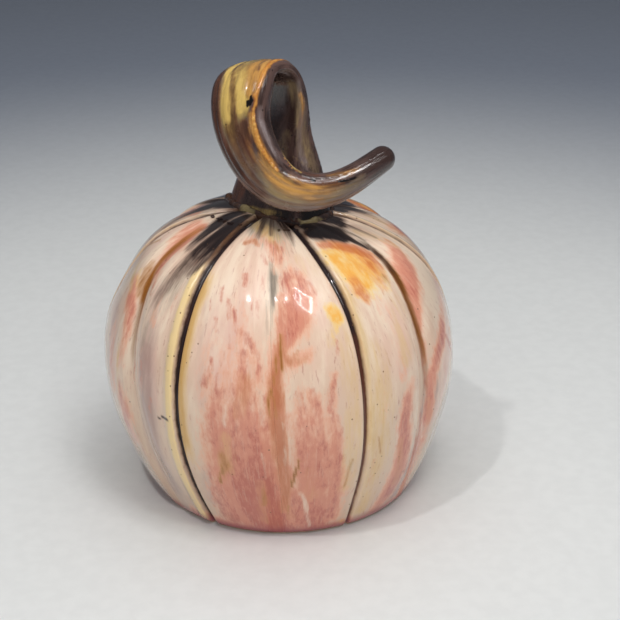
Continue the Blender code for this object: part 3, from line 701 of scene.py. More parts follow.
@dataclass
class Finish:
    """A new material, open for its nodes."""

    material: Material
    graph: Graph
    shader: Node

    @classmethod
    def opened(cls, name: str) -> "Finish":
        """Starts a material that holds its shader alone.

        Args:
            name: The material's name.

        Returns:
            The material, open for its nodes.
        """
        material = bpy.data.materials.new(name)
        material.use_nodes = True
        return cls(material, Graph(material.node_tree), material.node_tree.nodes["Principled BSDF"])

    def wire(self, **inputs: Value) -> Material:
        """Links or sets the shader's inputs, with _ for the spaces in their names."""
        self.graph.fed(self.shader, {name.replace("_", " "): value for name, value in inputs.items()})
        return self.material


@dataclass(frozen=True)
class GroupPlan:
    """A node group's name and sockets: floats unless their names are listed otherwise."""

    name: str
    inputs: tuple[str, ...]
    outputs: tuple[str, ...]
    vectors: tuple[str, ...] = ("Place", "Flow")
    colours: tuple[str, ...] = ("Under", "Thin", "Thick", "Colour")

    def start(self) -> tuple[Graph, dict[str, Socket], Node]:
        """Makes the empty group.

        Returns:
            Its graph, its inputs by name, and the output node.
        """
        tree = bpy.data.node_groups.new(self.name, "ShaderNodeTree")
        for way, names in (("INPUT", self.inputs), ("OUTPUT", self.outputs)):
            for name in names:
                kind = "NodeSocketFloat"
                kind = "NodeSocketVector" if name in self.vectors else kind
                kind = "NodeSocketColor" if name in self.colours else kind
                tree.interface.new_socket(name, in_out=way, socket_type=kind)
        graph = Graph(tree)
        entry = tree.nodes.new("NodeGroupInput")
        leave = tree.nodes.new("NodeGroupOutput")
        return graph, {name: entry.outputs[name] for name in self.inputs}, leave


class Effects:
    """The effects that the body's and the stem's glazes share, each a node group built once."""

    def __init__(self) -> None:
        """Builds the groups."""
        self.streaks = self.build_streaks()
        self.coat = self.build_coat()
        self.pits = self.build_pits()
        self.melt = self.build_melt()

    def build_streaks(self) -> Tree:
        """Soft noise drawn out along the way the glaze ran.

        Returns:
            The node group.
        """
        graph, given, leave = GroupPlan(
            "glaze_streaks", ("Flow", "Width", "Length", "Seed"), ("Streaks",)
        ).start()
        across = graph.math("DIVIDE", 1.0, given["Width"])
        down = graph.math("DIVIDE", 1.0, given["Length"])
        scale = graph.node("CombineXYZ", {"X": across, "Y": across, "Z": down}).outputs[0]
        stretched = graph.node("VectorMath", {0: given["Flow"], 1: scale}, operation="MULTIPLY").outputs[0]
        noise = graph.node("TexNoise", {
            "Vector": stretched, "W": given["Seed"], "Scale": 1.0, "Detail": 5.0, "Roughness": 0.66,
            "Distortion": 0.12,
        }, noise_dimensions="4D").outputs["Fac"]
        graph.tree.links.new(graph.smooth(noise, 0.22, 0.78), leave.inputs["Streaks"])
        return graph.tree

    def build_coat(self) -> Tree:
        """One coat over the ones below: its mask frays into streaks, and it is paler where it is thin.

        Returns:
            The node group.
        """
        graph, given, leave = GroupPlan(
            "glaze_coat",
            ("Under", "Flow", "Mask", "Thin", "Thick", "Width", "Length", "Seed", "Ragged", "Soft", "Cover"),
            ("Colour", "Covered"),
        ).start()
        rough = {key: given[key] for key in ("Flow", "Width", "Length", "Seed")}
        streaks = graph.group(self.streaks, **rough).outputs["Streaks"]
        # a full stroke frays less than a faint one
        steady = graph.math("MULTIPLY_ADD", given["Mask"], -0.6, 1.0)
        ragged = graph.math("MULTIPLY", given["Ragged"], steady)
        frayed = graph.math("MULTIPLY_ADD", graph.math("SUBTRACT", streaks, 0.5), ragged, given["Mask"])
        low = graph.math("SUBTRACT", 0.5, given["Soft"])
        high = graph.math("ADD", 0.5, given["Soft"])
        edge = graph.smooth(frayed, low, high)
        # none of the streaks reach past the stroke
        there = graph.smooth(given["Mask"], 0.02, 0.12)
        covered = graph.math("MULTIPLY", graph.math("MULTIPLY", edge, there), given["Cover"])
        depth = graph.smooth(frayed, 0.5, 1.05)
        colour = graph.mix(depth, given["Thin"], given["Thick"])
        graph.tree.links.new(graph.mix(covered, given["Under"], colour), leave.inputs["Colour"])
        graph.tree.links.new(covered, leave.inputs["Covered"])
        return graph.tree

    def build_pits(self) -> Tree:
        """Pinholes where gas left the glaze: scattered dots, only some of the cells.

        Returns:
            The node group.
        """
        plan = GroupPlan("glaze_pits", ("Place", "Spacing", "Size", "Share"), ("Pit",))
        graph, given, leave = plan.start()
        scale = graph.math("DIVIDE", 1.0, given["Spacing"])
        cells = graph.node("TexVoronoi", {"Vector": given["Place"], "Scale": scale, "Randomness": 1.0})
        away = graph.math("MULTIPLY", cells.outputs["Distance"], given["Spacing"])
        dot = graph.math("SUBTRACT", 1.0, graph.smooth(graph.math("DIVIDE", away, given["Size"]), 0.6, 1.0))
        pick = graph.node("SeparateColor", {"Color": cells.outputs["Color"]}).outputs[0]
        some = graph.math("LESS_THAN", pick, given["Share"])
        graph.tree.links.new(graph.math("MULTIPLY", dot, some), leave.inputs["Pit"])
        return graph.tree

    def build_melt(self) -> Tree:
        """The melted surface: a faint orange peel as a height, and cloudy gloss.

        Returns:
            The node group.
        """
        graph, given, leave = GroupPlan("glaze_melt", ("Place", "Seed"), ("Peel", "Cloud")).start()
        for name, scale, detail in (("Peel", 0.9, 2.0), ("Cloud", 0.28, 5.0)):
            noise = graph.node("TexNoise", {
                "Vector": given["Place"], "W": given["Seed"], "Scale": scale, "Detail": detail,
            }, noise_dimensions="4D").outputs["Fac"]
            graph.tree.links.new(noise, leave.inputs[name])
        return graph.tree


@dataclass(frozen=True)
class Coat:
    """One coat of glaze: its mask and its colour, thin and thick.

    It frays into streaks of a width and a length, by how ragged and how soft its edge is, and it covers what
    is under it by a share.
    """

    glaze: Glaze
    thin: Colour
    thick: Colour
    width_mm: float
    length_mm: float
    ragged: float
    soft: float
    cover: float

    def seed(self) -> float:
        """A number that sets the coat's noise apart from that of most others."""
        return len(self.glaze.value) + 7 * self.width_mm

    def over(self, graph: Graph, effects: Effects, under: Socket, flow: Socket) -> Node:
        """Lays the coat over the colour below it, where its strokes are.

        Args:
            graph: The material's nodes.
            effects: The shared node groups.
            under: The colour below it.
            flow: Where each point lies along the way the glaze ran.

        Returns:
            A node with the new colour and how much the coat covers.
        """
        return graph.group(
            effects.coat, Under=under, Flow=flow, Mask=graph.number(self.glaze.value),
            Thin=self.thin, Thick=self.thick, Width=self.width_mm, Length=self.length_mm,
            Seed=self.seed(), Ragged=self.ragged, Soft=self.soft, Cover=self.cover,
        )


@dataclass(frozen=True)
class BodyGlaze:
    """The body's glaze: cream, with rose, amber and dark coats that ran down over it."""

    cream: Colour = tone(240, 217, 193)
    warm_cream: Colour = tone(228, 196, 172)
    # painted shade: the cream goes deeper and deeper below the first height, down to the second, as the
    # lower body falls in shade
    painted_shade_cream: Colour = tone(206, 176, 152)
    painted_shade_mm: Pair = (62.0, 8.0)
    painted_shade_cover: float = 0.75
    fleck: Colour = tone(190, 134, 122)
    # a rosy band round the foot, between these heights
    foot: Colour = tone(158, 78, 86)
    foot_mm: Pair = (4.4, 0.8)
    foot_cover: float = 0.85
    groove: Colour = tone(46, 32, 32)
    russet: Colour = tone(104, 58, 42)
    groove_edge: Colour = tone(150, 106, 74)
    groove_half_mm: float = 0.72
    # the lines in a crease: how strong, half how wide in millimetres, and their colour
    crease_lines: tuple[tuple[Glaze, float, Colour], ...] = (
        (Glaze.CREASE_OCHRE, 1.2, tone(152, 92, 30)), (Glaze.CREASE_DARK, 0.85, tone(62, 36, 24)),
    )
    # a line begins to show and is full at these shares of half its width
    crease_edge: Pair = (1.5, 0.6)
    groove_edges: Pair = (1.35, 0.7)
    halo_width: float = 2.1
    # pinholes are in this share of their cells, and in more of them under the glazes that follow
    pinhole: Colour = tone(116, 78, 48)
    pinhole_share: float = 0.06
    pinhole_more: tuple[tuple[Glaze, float], ...] = ((Glaze.BUTTER, 0.5), (Glaze.MUSTARD, 0.25))
    pinhole_cover: float = 0.8
    # the glaze ran thin and dull on one wall of each crease: how far off its middle, and half how wide
    dull_wall_mm: float = 2.4
    dull_half_mm: Pair = (1.3, 2.6)
    dull_roughness: float = 0.45
    roughness: Pair = (0.14, 0.26)
    coat_weight: Pair = (0.08, 0.8)
    # heights in millimetres of the orange peel, the fine streaks, a pinhole and the coats that stand out
    peel_mm: float = 0.05
    streak_mm: float = 0.008
    pinhole_mm: float = -0.15
    thick_mm: tuple[tuple[Glaze, float], ...] = (
        (Glaze.ROSE, 0.03), (Glaze.AMBER, 0.04), (Glaze.DARK, 0.03), (Glaze.WHITE, 0.06),
    )
    # from the lowest coat to the topmost one
    coats: tuple[Coat, ...] = (
        Coat(Glaze.BLUSH, tone(232, 192, 174), tone(224, 174, 158), 3, 12, 0.7, 0.45, 0.85),
        Coat(Glaze.MAUVE, tone(192, 162, 150), tone(172, 138, 128), 3, 14, 0.7, 0.45, 0.85),
        Coat(Glaze.GREY, tone(178, 160, 142), tone(126, 116, 104), 1.2, 9, 0.8, 0.4, 0.9),
        Coat(Glaze.SALMON, tone(237, 175, 144), tone(214, 136, 110), 1.5, 4, 0.95, 0.44, 0.9),
        Coat(Glaze.ROSE, tone(210, 134, 112), tone(180, 93, 79), 1.1, 3, 1.3, 0.42, 0.75),
        Coat(Glaze.TERRACOTTA, tone(213, 147, 109), tone(188, 112, 72), 1.2, 7, 1, 0.4, 0.8),
        Coat(Glaze.WHITE, tone(236, 210, 186), tone(242, 224, 202), 0.8, 5, 1.1, 0.4, 0.7),
        Coat(Glaze.MUSTARD, tone(224, 188, 126), tone(206, 160, 84), 1.8, 12, 0.8, 0.48, 0.85),
        Coat(Glaze.BUTTER, tone(228, 200, 158), tone(240, 210, 150), 1.1, 4, 1.1, 0.45, 0.9),
        Coat(Glaze.OLIVE, tone(186, 156, 106), tone(150, 118, 70), 0.9, 6, 0.9, 0.4, 0.7),
        Coat(Glaze.AMBER, tone(246, 207, 118), tone(243, 173, 70), 2.2, 4, 0.95, 0.45, 0.95),
        Coat(Glaze.ORANGE, tone(228, 150, 92), tone(204, 102, 54), 1.8, 4, 0.95, 0.45, 0.8),
        Coat(Glaze.OCHRE, tone(182, 126, 68), tone(146, 90, 34), 0.8, 4, 0.8, 0.4, 0.9),
        Coat(Glaze.DARK, tone(116, 92, 80), tone(34, 24, 23), 1.8, 11, 0.7, 0.42, 1),
    )

    def material(self, effects: Effects) -> Material:
        """Builds the material.

        Args:
            effects: The shared node groups.

        Returns:
            The body's glaze.
        """
        finish = Finish.opened("body_glaze")
        graph = finish.graph
        flow, place = graph.vector("flow"), graph.place()
        broad = graph.group(effects.streaks, Flow=flow, Width=7.0, Length=30.0, Seed=1.0).outputs[0]
        fine = graph.group(effects.streaks, Flow=flow, Width=0.7, Length=3.4, Seed=2.0).outputs[0]
        hair = graph.group(effects.streaks, Flow=flow, Width=0.45, Length=7.0, Seed=3.0).outputs[0]
        melt = graph.group(effects.melt, Place=place, Seed=4.0)
        level = graph.node("SeparateXYZ", {0: place}).outputs["Z"]
        colour = graph.mix(graph.smooth(broad, 0.3, 0.75), self.cream, self.warm_cream)
        # painted shade: the lower body is darkened towards the foot
        colour = graph.mix(graph.smooth(level, *self.painted_shade_mm, 0, self.painted_shade_cover), colour, self.painted_shade_cream)
        colour = graph.mix(graph.smooth(fine, 0.70, 0.9, 0, 0.6), colour, self.fleck)
        covered = {}
        for coat in self.coats:
            node = coat.over(graph, effects, colour, flow)
            colour, covered[coat.glaze] = node.outputs["Colour"], node.outputs["Covered"]
            if coat.glaze is Glaze.ROSE:
                light = graph.math("MULTIPLY", graph.smooth(hair, 0.6, 0.85, 0, 0.25), covered[Glaze.SALMON])
                colour = graph.mix(light, colour, self.warm_cream)
        colour = self.lines(graph, colour, fine)
        rim = graph.math("MULTIPLY", graph.smooth(level, *self.foot_mm), self.foot_cover)
        colour = graph.mix(rim, colour, self.foot)
        share = self.pinhole_share
        for glaze, more in self.pinhole_more:
            share = graph.math("MULTIPLY_ADD", graph.number(glaze.value), more, share)
        pit = graph.group(effects.pits, Place=place, Spacing=1.5, Size=0.25, Share=share).outputs["Pit"]
        colour = graph.mix(graph.math("MULTIPLY", pit, self.pinhole_cover), colour, self.pinhole)
        height = self.height(graph, pit, melt.outputs["Peel"], fine, covered)
        bump = graph.node("Bump", {"Height": height, "Distance": MM, "Strength": 0.45})
        roughness, weight = self.gloss(graph, melt.outputs["Cloud"])
        return finish.wire(
            Base_Color=colour, Roughness=roughness, Normal=bump.outputs["Normal"], Coat_Weight=weight,
            Coat_Roughness=0.04, Coat_IOR=1.38, Specular_IOR_Level=0.4,
        )

    def lines(self, graph: Graph, colour: Socket, fine: Socket) -> Socket:
        """Draws the glaze that pooled along the creases and in the grooves.

        Args:
            graph: The material's nodes.
            colour: The colour below the lines.
            fine: The fine streaks, which make the lines wobble.

        Returns:
            The new colour.
        """
        wobble = graph.math("MULTIPLY", graph.math("SUBTRACT", fine, 0.5), 0.5)
        off_crease = graph.math("ABSOLUTE", graph.math("ADD", graph.number("crease_mm"), wobble))
        for glaze, half, tint in self.crease_lines:
            band = graph.smooth(off_crease, half * self.crease_edge[0], half * self.crease_edge[1])
            colour = graph.mix(graph.math("MULTIPLY", band, graph.number(glaze.value)), colour, tint)
        wobble = graph.math("MULTIPLY", wobble, 0.5)
        off_groove = graph.math("ABSOLUTE", graph.math("ADD", graph.number("groove_mm"), wobble))
        depth, half = graph.number("groove_depth"), self.groove_half_mm
        halo = graph.smooth(off_groove, half * self.halo_width, half, 0, 0.5)
        colour = graph.mix(graph.math("MULTIPLY", halo, depth), colour, self.groove_edge)
        core = graph.smooth(off_groove, half * self.groove_edges[0], half * self.groove_edges[1])
        deep = graph.mix(graph.number(Glaze.RUSSET.value), self.groove, self.russet)
        return graph.mix(graph.math("MULTIPLY", core, depth), colour, deep)

    def gloss(self, graph: Graph, cloud: Socket) -> tuple[Socket, Socket]:
        """Makes the gloss cloudy, and dull on one wall of each crease.

        Args:
            graph: The material's nodes.
            cloud: The clouds of the melted surface.

        Returns:
            The roughness and the clear coat's weight.
        """
        off_wall = graph.math("ABSOLUTE", graph.math("ADD", graph.number("crease_mm"), self.dull_wall_mm))
        dull = graph.smooth(off_wall, *self.dull_half_mm, self.dull_roughness, 0)
        rough = graph.math("MAXIMUM", graph.smooth(cloud, 0.35, 0.7, *self.roughness), dull)
        return rough, graph.smooth(off_wall, *self.dull_half_mm, *self.coat_weight)

    def height(self, graph: Graph, pit: Socket, peel: Socket, fine: Socket,
               covered: dict[Glaze, Socket]) -> Socket:
        """Adds up the small relief.

        Args:
            graph: The material's nodes.
            pit: Where the pinholes are.
            peel: The orange peel.
            fine: The fine streaks.
            covered: How much each coat covers.

        Returns:
            Its height in millimetres.
        """
        height = graph.math("MULTIPLY", peel, self.peel_mm)
        height = graph.math("MULTIPLY_ADD", fine, self.streak_mm, height)
        for glaze, lift in self.thick_mm:
            height = graph.math("MULTIPLY_ADD", covered[glaze], lift, height)
        return graph.math("MULTIPLY_ADD", pit, self.pinhole_mm, height)


@dataclass(frozen=True)
class BareClay:
    """The unglazed stoneware under the foot and inside: buff, dry and speckled."""

    clay: Colour = tone(206, 178, 146)
    dark_clay: Colour = tone(176, 142, 108)
    speck: Colour = tone(92, 62, 44)
    roughness: Pair = (0.75, 0.95)

    def material(self, effects: Effects) -> Material:
        """Builds the material.

        Args:
            effects: The shared node groups.

        Returns:
            The bare clay.
        """
        finish = Finish.opened("bare_clay")
        graph = finish.graph
        place = graph.place()
        cloud = graph.group(effects.melt, Place=place, Seed=9.0).outputs["Cloud"]
        specks = graph.group(effects.pits, Place=place, Spacing=1.3, Size=0.22, Share=0.35).outputs["Pit"]
        colour = graph.mix(graph.smooth(cloud, 0.35, 0.65), self.clay, self.dark_clay)
        grit = graph.node("TexNoise", {"Vector": place, "Scale": 3.0, "Detail": 3.0}).outputs["Fac"]
        bump = graph.node("Bump", {"Height": grit, "Distance": 0.1 * MM, "Strength": 0.8})
        return finish.wire(
            Base_Color=graph.mix(specks, colour, self.speck),
            Roughness=graph.smooth(grit, 0.2, 0.8, *self.roughness), Normal=bump.outputs["Normal"],
        )


@dataclass(frozen=True)
class StemGlaze:
    """The stem's glaze: dark purple brown that breaks to yellow, amber and orange on the ridges."""

    base: Colour = tone(92, 70, 64)
    deep: Colour = tone(56, 40, 36)
    gold: Colour = tone(232, 182, 100)
    burnt_gold: Colour = tone(176, 104, 44)
    pinhole: Colour = tone(30, 20, 16)
    # how far the painted shade on the curl's inner face, and the dark tip, go to the deep colour
    shade_and_tip_cover: float = 0.6
    gold_cover: float = 0.7
    pinhole_cover: float = 0.7
    roughness: Pair = (0.12, 0.32)
    # heights in millimetres of the orange peel, the fine streaks and a pinhole
    peel_mm: float = 0.07
    streak_mm: float = 0.05
    pinhole_mm: float = -0.15
    coats: tuple[Coat, ...] = (
        Coat(Glaze.OLIVE, tone(118, 98, 76), tone(156, 132, 92), 1.2, 9, 0.9, 0.42, 0.9),
        Coat(Glaze.YELLOW, tone(150, 124, 74), tone(212, 178, 98), 1, 9, 0.8, 0.38, 0.95),
        Coat(Glaze.AMBER, tone(140, 96, 52), tone(204, 150, 76), 1, 6, 0.9, 0.42, 0.9),
        Coat(Glaze.ORANGE, tone(140, 82, 36), tone(206, 144, 66), 0.7, 1.2, 1.5, 0.5, 0.8),
        # painted highlight: the sheen coat is pale reflected light laid into the colour
        Coat(Glaze.SLATE, tone(124, 106, 102), tone(192, 182, 182), 1.6, 9, 0.7, 0.45, 0.8),
        Coat(Glaze.BROWN, tone(98, 58, 40), tone(60, 36, 26), 0.9, 6, 0.9, 0.4, 0.9),
        # the dark coat also lays the painted shadow round the root
        Coat(Glaze.DARK, tone(30, 20, 16), tone(14, 9, 8), 0.5, 1, 0.8, 0.25, 1),
    )

    def material(self, effects: Effects) -> Material:
        """Builds the material.

        Args:
            effects: The shared node groups.

        Returns:
            The stem's glaze.
        """
        finish = Finish.opened("stem_glaze")
        graph = finish.graph
        flow, place = graph.vector("flow"), graph.place()
        broad = graph.group(effects.streaks, Flow=flow, Width=2.2, Length=12.0, Seed=1.0).outputs[0]
        fine = graph.group(effects.streaks, Flow=flow, Width=0.5, Length=5.0, Seed=2.0).outputs[0]
        melt = graph.group(effects.melt, Place=place, Seed=4.0)
        cloud = melt.outputs["Cloud"]
        colour = graph.mix(graph.smooth(broad, 0.3, 0.7), self.base, self.deep)
        # painted shade: the curl's inner face, which looks into the loop, goes towards the deep colour, as
        # does the darker tip
        inner = graph.math("MULTIPLY", graph.number("inner"), self.shade_and_tip_cover)
        colour = graph.mix(inner, colour, self.deep)
        for coat in self.coats:
            colour = coat.over(graph, effects, colour, flow).outputs["Colour"]
        ridge = graph.math("MULTIPLY_ADD", graph.math("SUBTRACT", fine, 0.5), 0.8, graph.number("ridge"))
        melted = graph.mix(graph.smooth(cloud, 0.42, 0.58), self.burnt_gold, self.gold)
        colour = graph.mix(graph.smooth(ridge, 0.3, 1.0, 0, self.gold_cover), colour, melted)
        pit = graph.group(effects.pits, Place=place, Spacing=2.2, Size=0.3, Share=0.12).outputs["Pit"]
        colour = graph.mix(graph.math("MULTIPLY", pit, self.pinhole_cover), colour, self.pinhole)
        height = graph.math("MULTIPLY", melt.outputs["Peel"], self.peel_mm)
        height = graph.math("MULTIPLY_ADD", fine, self.streak_mm, height)
        height = graph.math("MULTIPLY_ADD", pit, self.pinhole_mm, height)
        bump = graph.node("Bump", {"Height": height, "Distance": MM, "Strength": 0.8})
        return finish.wire(
            Base_Color=colour, Roughness=graph.smooth(cloud, 0.35, 0.7, *self.roughness),
            Normal=bump.outputs["Normal"], Coat_Weight=0.6, Coat_Roughness=0.05,
        )


@dataclass(frozen=True)
class Lip:
    """The edge of a groove on one side: how wide and high the clay stands, and the glaze that lies on it."""

    width_mm: float = 1.3
    height_mm: float = 0.15
    butter: float = 0.35
    mustard: float = 0.0
    olive: float = 0.0
    bottom_mm: float = 4.0
    top_mm: float = 90.0
    # the buff glaze thins out between these distances, and begins and ends between these ways up
    buff_mm: Pair = (0.8, 5.0)
    buff_start_mm: Pair = (18.0, 34.0)
    buff_end_mm: Pair = (68.0, 78.0)
    # it rises and falls between these distances from its bottom, its top, the groove and its outer edge
    begins_mm: Pair = (-5.0, 3.0)
    ends_mm: Pair = (-4.0, 4.0)
    inner_mm: Pair = (0.6, 1.1)
    outer_mm: Pair = (-1.3, 0.7)
    # how much of its width it loses past its top
    narrows: float = 0.55
    # how far out the line along its edge lies, and half how wide it is
    edge_mm: Pair = (0.3, 0.55)

    def begins(self, up: Grid) -> Grid:
        """How fully the lip has begun at a way up the surface, 0 to 1."""
        return step(up, self.bottom_mm + self.begins_mm[0], self.bottom_mm + self.begins_mm[1])

    def stands(self, away: Grid, up: Grid) -> Grid:
        """Shapes the lip, which is narrower past its top.

        Args:
            away: The distance from the groove, in millimetres.
            up: The way up the surface, in millimetres.

        Returns:
            How fully it stands, 0 to 1.
        """
        before, after = self.ends_mm
        width = self.width_mm * (1 - self.narrows * step(up, self.top_mm + before, self.top_mm + after))
        starts, falls = self.outer_mm
        across = step(away, *self.inner_mm) * (1 - step(away, width + starts, width + falls))
        return across * self.begins(up)

    def edge(self, away: Grid, up: Grid) -> Grid:
        """A line along the outer edge of the lip."""
        along = self.begins(up) * (1 - step(up, self.top_mm + self.ends_mm[0], self.top_mm))
        return hill(away - self.width_mm - self.edge_mm[0], self.edge_mm[1]) * along

    def buff(self, away: Grid, up: Grid) -> Grid:
        """How much buff glaze lies beside the groove."""
        across = (1 - step(away, *self.buff_mm)) * self.mustard
        return across * step(up, *self.buff_start_mm) * (1 - step(up, *self.buff_end_mm))


@dataclass(frozen=True)
class Panel:
    """One of the six panels: the carved groove on its near side and the crease pressed in its middle.

    Both hold azimuths in degrees at four even heights, foot to crown: 0 is the front and 90 is +X. The lips
    are those of the groove, on its left and right as seen from outside.
    """

    groove: tuple[float, float, float, float]
    crease: tuple[float, float, float, float]
    left: Lip = Lip()
    right: Lip = Lip()
    foot_width: float = 0.72
    widens_mm: Pair = (25.0, 75.0)

    def narrowed(self, up: Grid) -> Grid:
        """The groove's width at each way up, as a share of its full width high up."""
        return self.foot_width + (1 - self.foot_width) * step(up, *self.widens_mm)


@dataclass
class Skin:
    """The carved outer surface as grids of rows from foot to crown by columns round it."""

    share: Grid
    up: Grid
    radius: Grid
    height: Grid
    azimuth: Grid
    straight: Grid
    groove_mm: Grid
    crease_mm: Grid
    lips: dict[str, Grid]


@dataclass
class HollowBody:
    """The thrown and carved body, open to the inside through the vent in its foot.

    Its carved lines wander, so the sheet that it is rolled from takes its points from their curves.
    """

    # radius and height at even steps, from the foot to the crown's middle
    profile_mm: tuple[Pair, ...] = (
        (34.4, 0), (40.4, 12.9), (44.6, 28.4), (44.1, 43.8),
        (38.5, 57.3), (29.4, 67.3), (14.6, 73.2), (0, 73.6),
    )
    # how far each level leans along X, at even steps up the profile
    lean_mm: tuple[float, ...] = (0.0, -1.3, -1.2, -2.3)
    panels: tuple[Panel, ...] = (
        Panel((153, 151, 150, 147), (181, 179, 181, 179),
              Lip(3.2, 0.4, 0.9, 0, 0.3, 6, 74), Lip(1.4, 0.15, 0.3, 0.8)),
        Panel((207, 209, 209, 212), (240, 238, 241, 244),
              Lip(1.2, 0.2, 0.5), Lip(2.4, 0.25, 0.5, 0, 0, 20, 80)),
        Panel((271, 271.5, 271.5, 277), (314.5, 310, 296, 294),
              Lip(1.6, 0.3, 0.7), Lip(1.3, 0.25, 0.6)),
        Panel((330, 328, 325.5, 325.5), (361.5, 360.5, 358.5, 361.5),
              Lip(3.5, 0.4, 1, 0, 0.1, 2, 75), Lip(1, 0.12, 0.1, 1.25, 0, 22, 72)),
        Panel((387.5, 388.5, 386.5, 376.5), (422, 416, 419.5, 422),
              Lip(0.9, 0.15, 0.3), Lip(2.4, 0.2, 0.45, 0.7, 0, 10, 78), 0.5),
        Panel((458, 454.5, 444.5, 439), (482, 484, 479, 476),
              Lip(1.8, 0.35, 0.8), Lip(1.8, 0.35, 0.8)),
    )
    groove_depth_mm: float = 1.35
    groove_half_mm: float = 0.85
    groove_fade_mm: Pair = (3.0, 8.0)
    crease_depth_mm: float = 1.1
    crease_half_mm: float = 3.2
    # a crease fades out below this height, and between these radii of the crown
    crease_foot_mm: float = 16.0
    crease_crown_mm: Pair = (14.0, 32.0)
    # the hand's wobble, full above this height and outside this radius
    wobble_mm: float = 0.22
    wobble_from_mm: Pair = (12.0, 30.0)
    foot_round_mm: float = 0.9
    wall_mm: float = 4.5
    floor_mm: float = 5.0
    vent_mm: float = 3.2
    vent_at_mm: Pair = (0.0, 12.0)
    # rows up the surface, columns to half a panel, and how they crowd towards the grooves
    rows: int = 150
    half_columns: int = 44
    crowding: float = 1.2
    # the glaze's noise is laid out on a drum of this radius
    flow_radius_mm: float = 42.0
    # each hidden panel's line of mirroring, and where the panel starts that it repeats
    mirrors_deg: tuple[Pair, ...] = ((120, 180), (120, 120), (300, 240))
    # the foot's rounding, the rows on its way in to the vent, and those of the hollow
    foot_turns_deg: tuple[float, ...] = (30, 60, 90)
    foot_shares: tuple[float, ...] = (0.1, 0.4, 0.75, 0.95, 1.0)
    floor_shares: tuple[float, ...] = (0.3, 0.7)
    inside_rows: int = 60
    inside_every: int = 4
    inside_least_mm: float = 1.0
    dome_mm: float = 0.2

    def build(self, effects: Effects) -> Piece:
        """Models the body as one closed sheet and glazes it.

        Args:
            effects: The shared node groups.

        Returns:
            The body, with its glaze and bare clay, riding on the root.
        """
        skin = self.skin()
        outer = self.outside(skin)
        under = self.underside(outer[0], skin.azimuth[0])
        points = np.concatenate([outer[::-1], under])
        slots = np.concatenate([np.zeros(self.rows), np.ones(len(under) - 1)])
        body = rolled_sheet("pumpkin_body", points, slots)
        for name, values in self.masks(skin).items():
            blank = np.zeros((len(under), *values.shape[1:]))
            painted(body, name, np.concatenate([values[::-1], blank]))
        sewn(body)
        body.data.materials.append(BodyGlaze().material(effects))
        body.data.materials.append(BareClay().material(effects))
        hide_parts("body")
        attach(body, "root")
        return body

    def skin(self) -> Skin:
        """Lays out columns that follow the carved lines, closer together beside the grooves.

        Returns:
            The outer surface before it is carved, with each point's distance from the lines.
        """
        share = np.linspace(0, 1, self.rows)
        profile = spline(self.profile_mm, share)
        up = distance_up(profile)[:, None]
        steps = np.linspace(0, 1, self.half_columns + 1)
        steps = np.sinh(self.crowding * steps) / math.sinh(self.crowding)
        rising, falling = steps[None, :-1], 1 - steps[None, :0:-1]
        grids, lips = [], []
        for i, panel in enumerate(self.panels):
            following = self.panels[(i + 1) % len(self.panels)]
            turn = 360.0 if i + 1 == len(self.panels) else 0.0
            start = np.radians(spline(panel.groove, share))
            middle = np.radians(spline(panel.crease, share))
            end = np.radians(spline(following.groove, share) + turn)
            near = start + (middle - start) * rising
            far = middle + (end - middle) * falling
            azimuth = np.concatenate([near, far], axis=1)
            straight = (i + (azimuth - start) / (end - start)) * 360 / len(self.panels)
            near_off = (near - start) / panel.narrowed(up)
            off_groove = np.concatenate([near_off, (far - end) / following.narrowed(up)], axis=1)
            grids.append(np.stack([azimuth, straight, off_groove, azimuth - middle]))
            for lip, off in ((panel.right, near - start), (following.left, end - far)):
                away = off * profile[:, :1]
                stands = lip.stands(away, up)
                lips.append(np.stack([
                    stands * lip.height_mm, stands * lip.butter, lip.edge(away, up) * lip.olive,
                    lip.buff(away, up),
                ]))
        grids = np.concatenate(grids, axis=2)
        lips = np.concatenate(lips, axis=2)
        grids = np.concatenate([grids, grids[..., :1]], axis=2)
        lips = np.concatenate([lips, lips[..., :1]], axis=2)
        azimuth, straight, off_groove, off_crease = grids
        azimuth[:, -1] += math.tau
        straight[:, -1] += 360
        names = ("height_mm", Glaze.BUTTER.value, Glaze.OLIVE.value, Glaze.MUSTARD.value)
        return Skin(
            share, np.broadcast_to(up, azimuth.shape), profile[:, :1], profile[:, 1:], azimuth, straight,
            off_groove * profile[:, :1], off_crease * profile[:, :1], dict(zip(names, lips)),
        )

    def outside(self, skin: Skin) -> Grid:
        """Moves the thrown surface by its carving.

        Args:
            skin: The surface's grids.

        Returns:
            The carved outer surface, rows by columns by 3, foot to crown.
        """
        profile = np.concatenate([skin.radius, skin.height], axis=1)
        lean = spline(self.lean_mm, skin.share)
        along = unit(np.gradient(profile, axis=0))
        move = self.relief(skin)
        r = np.maximum(skin.radius + move * along[:, 1:], 0)
        z = np.maximum(skin.height - move * along[:, :1], self.foot_round_mm)
        r[-1] = 0
        z[-1] = skin.height[-1]
        return np.stack([lean + r * np.sin(skin.azimuth), -r * np.cos(skin.azimuth), z], axis=-1)

    def relief(self, skin: Skin) -> Grid:
        """Adds up the carved grooves with their lips, the pressed creases and the hand's wobble.

        Args:
            skin: The surface's grids.

        Returns:
            How far each point moves out, in millimetres.
        """
        fade = self.groove_fade(skin)
        crease_fade = ramp(skin.radius, *self.crease_crown_mm) * ramp(skin.height, 0, self.crease_foot_mm)
        cut = self.groove_depth_mm * hill(skin.groove_mm, self.groove_half_mm)
        fold = self.crease_depth_mm * hill(skin.crease_mm, self.crease_half_mm)
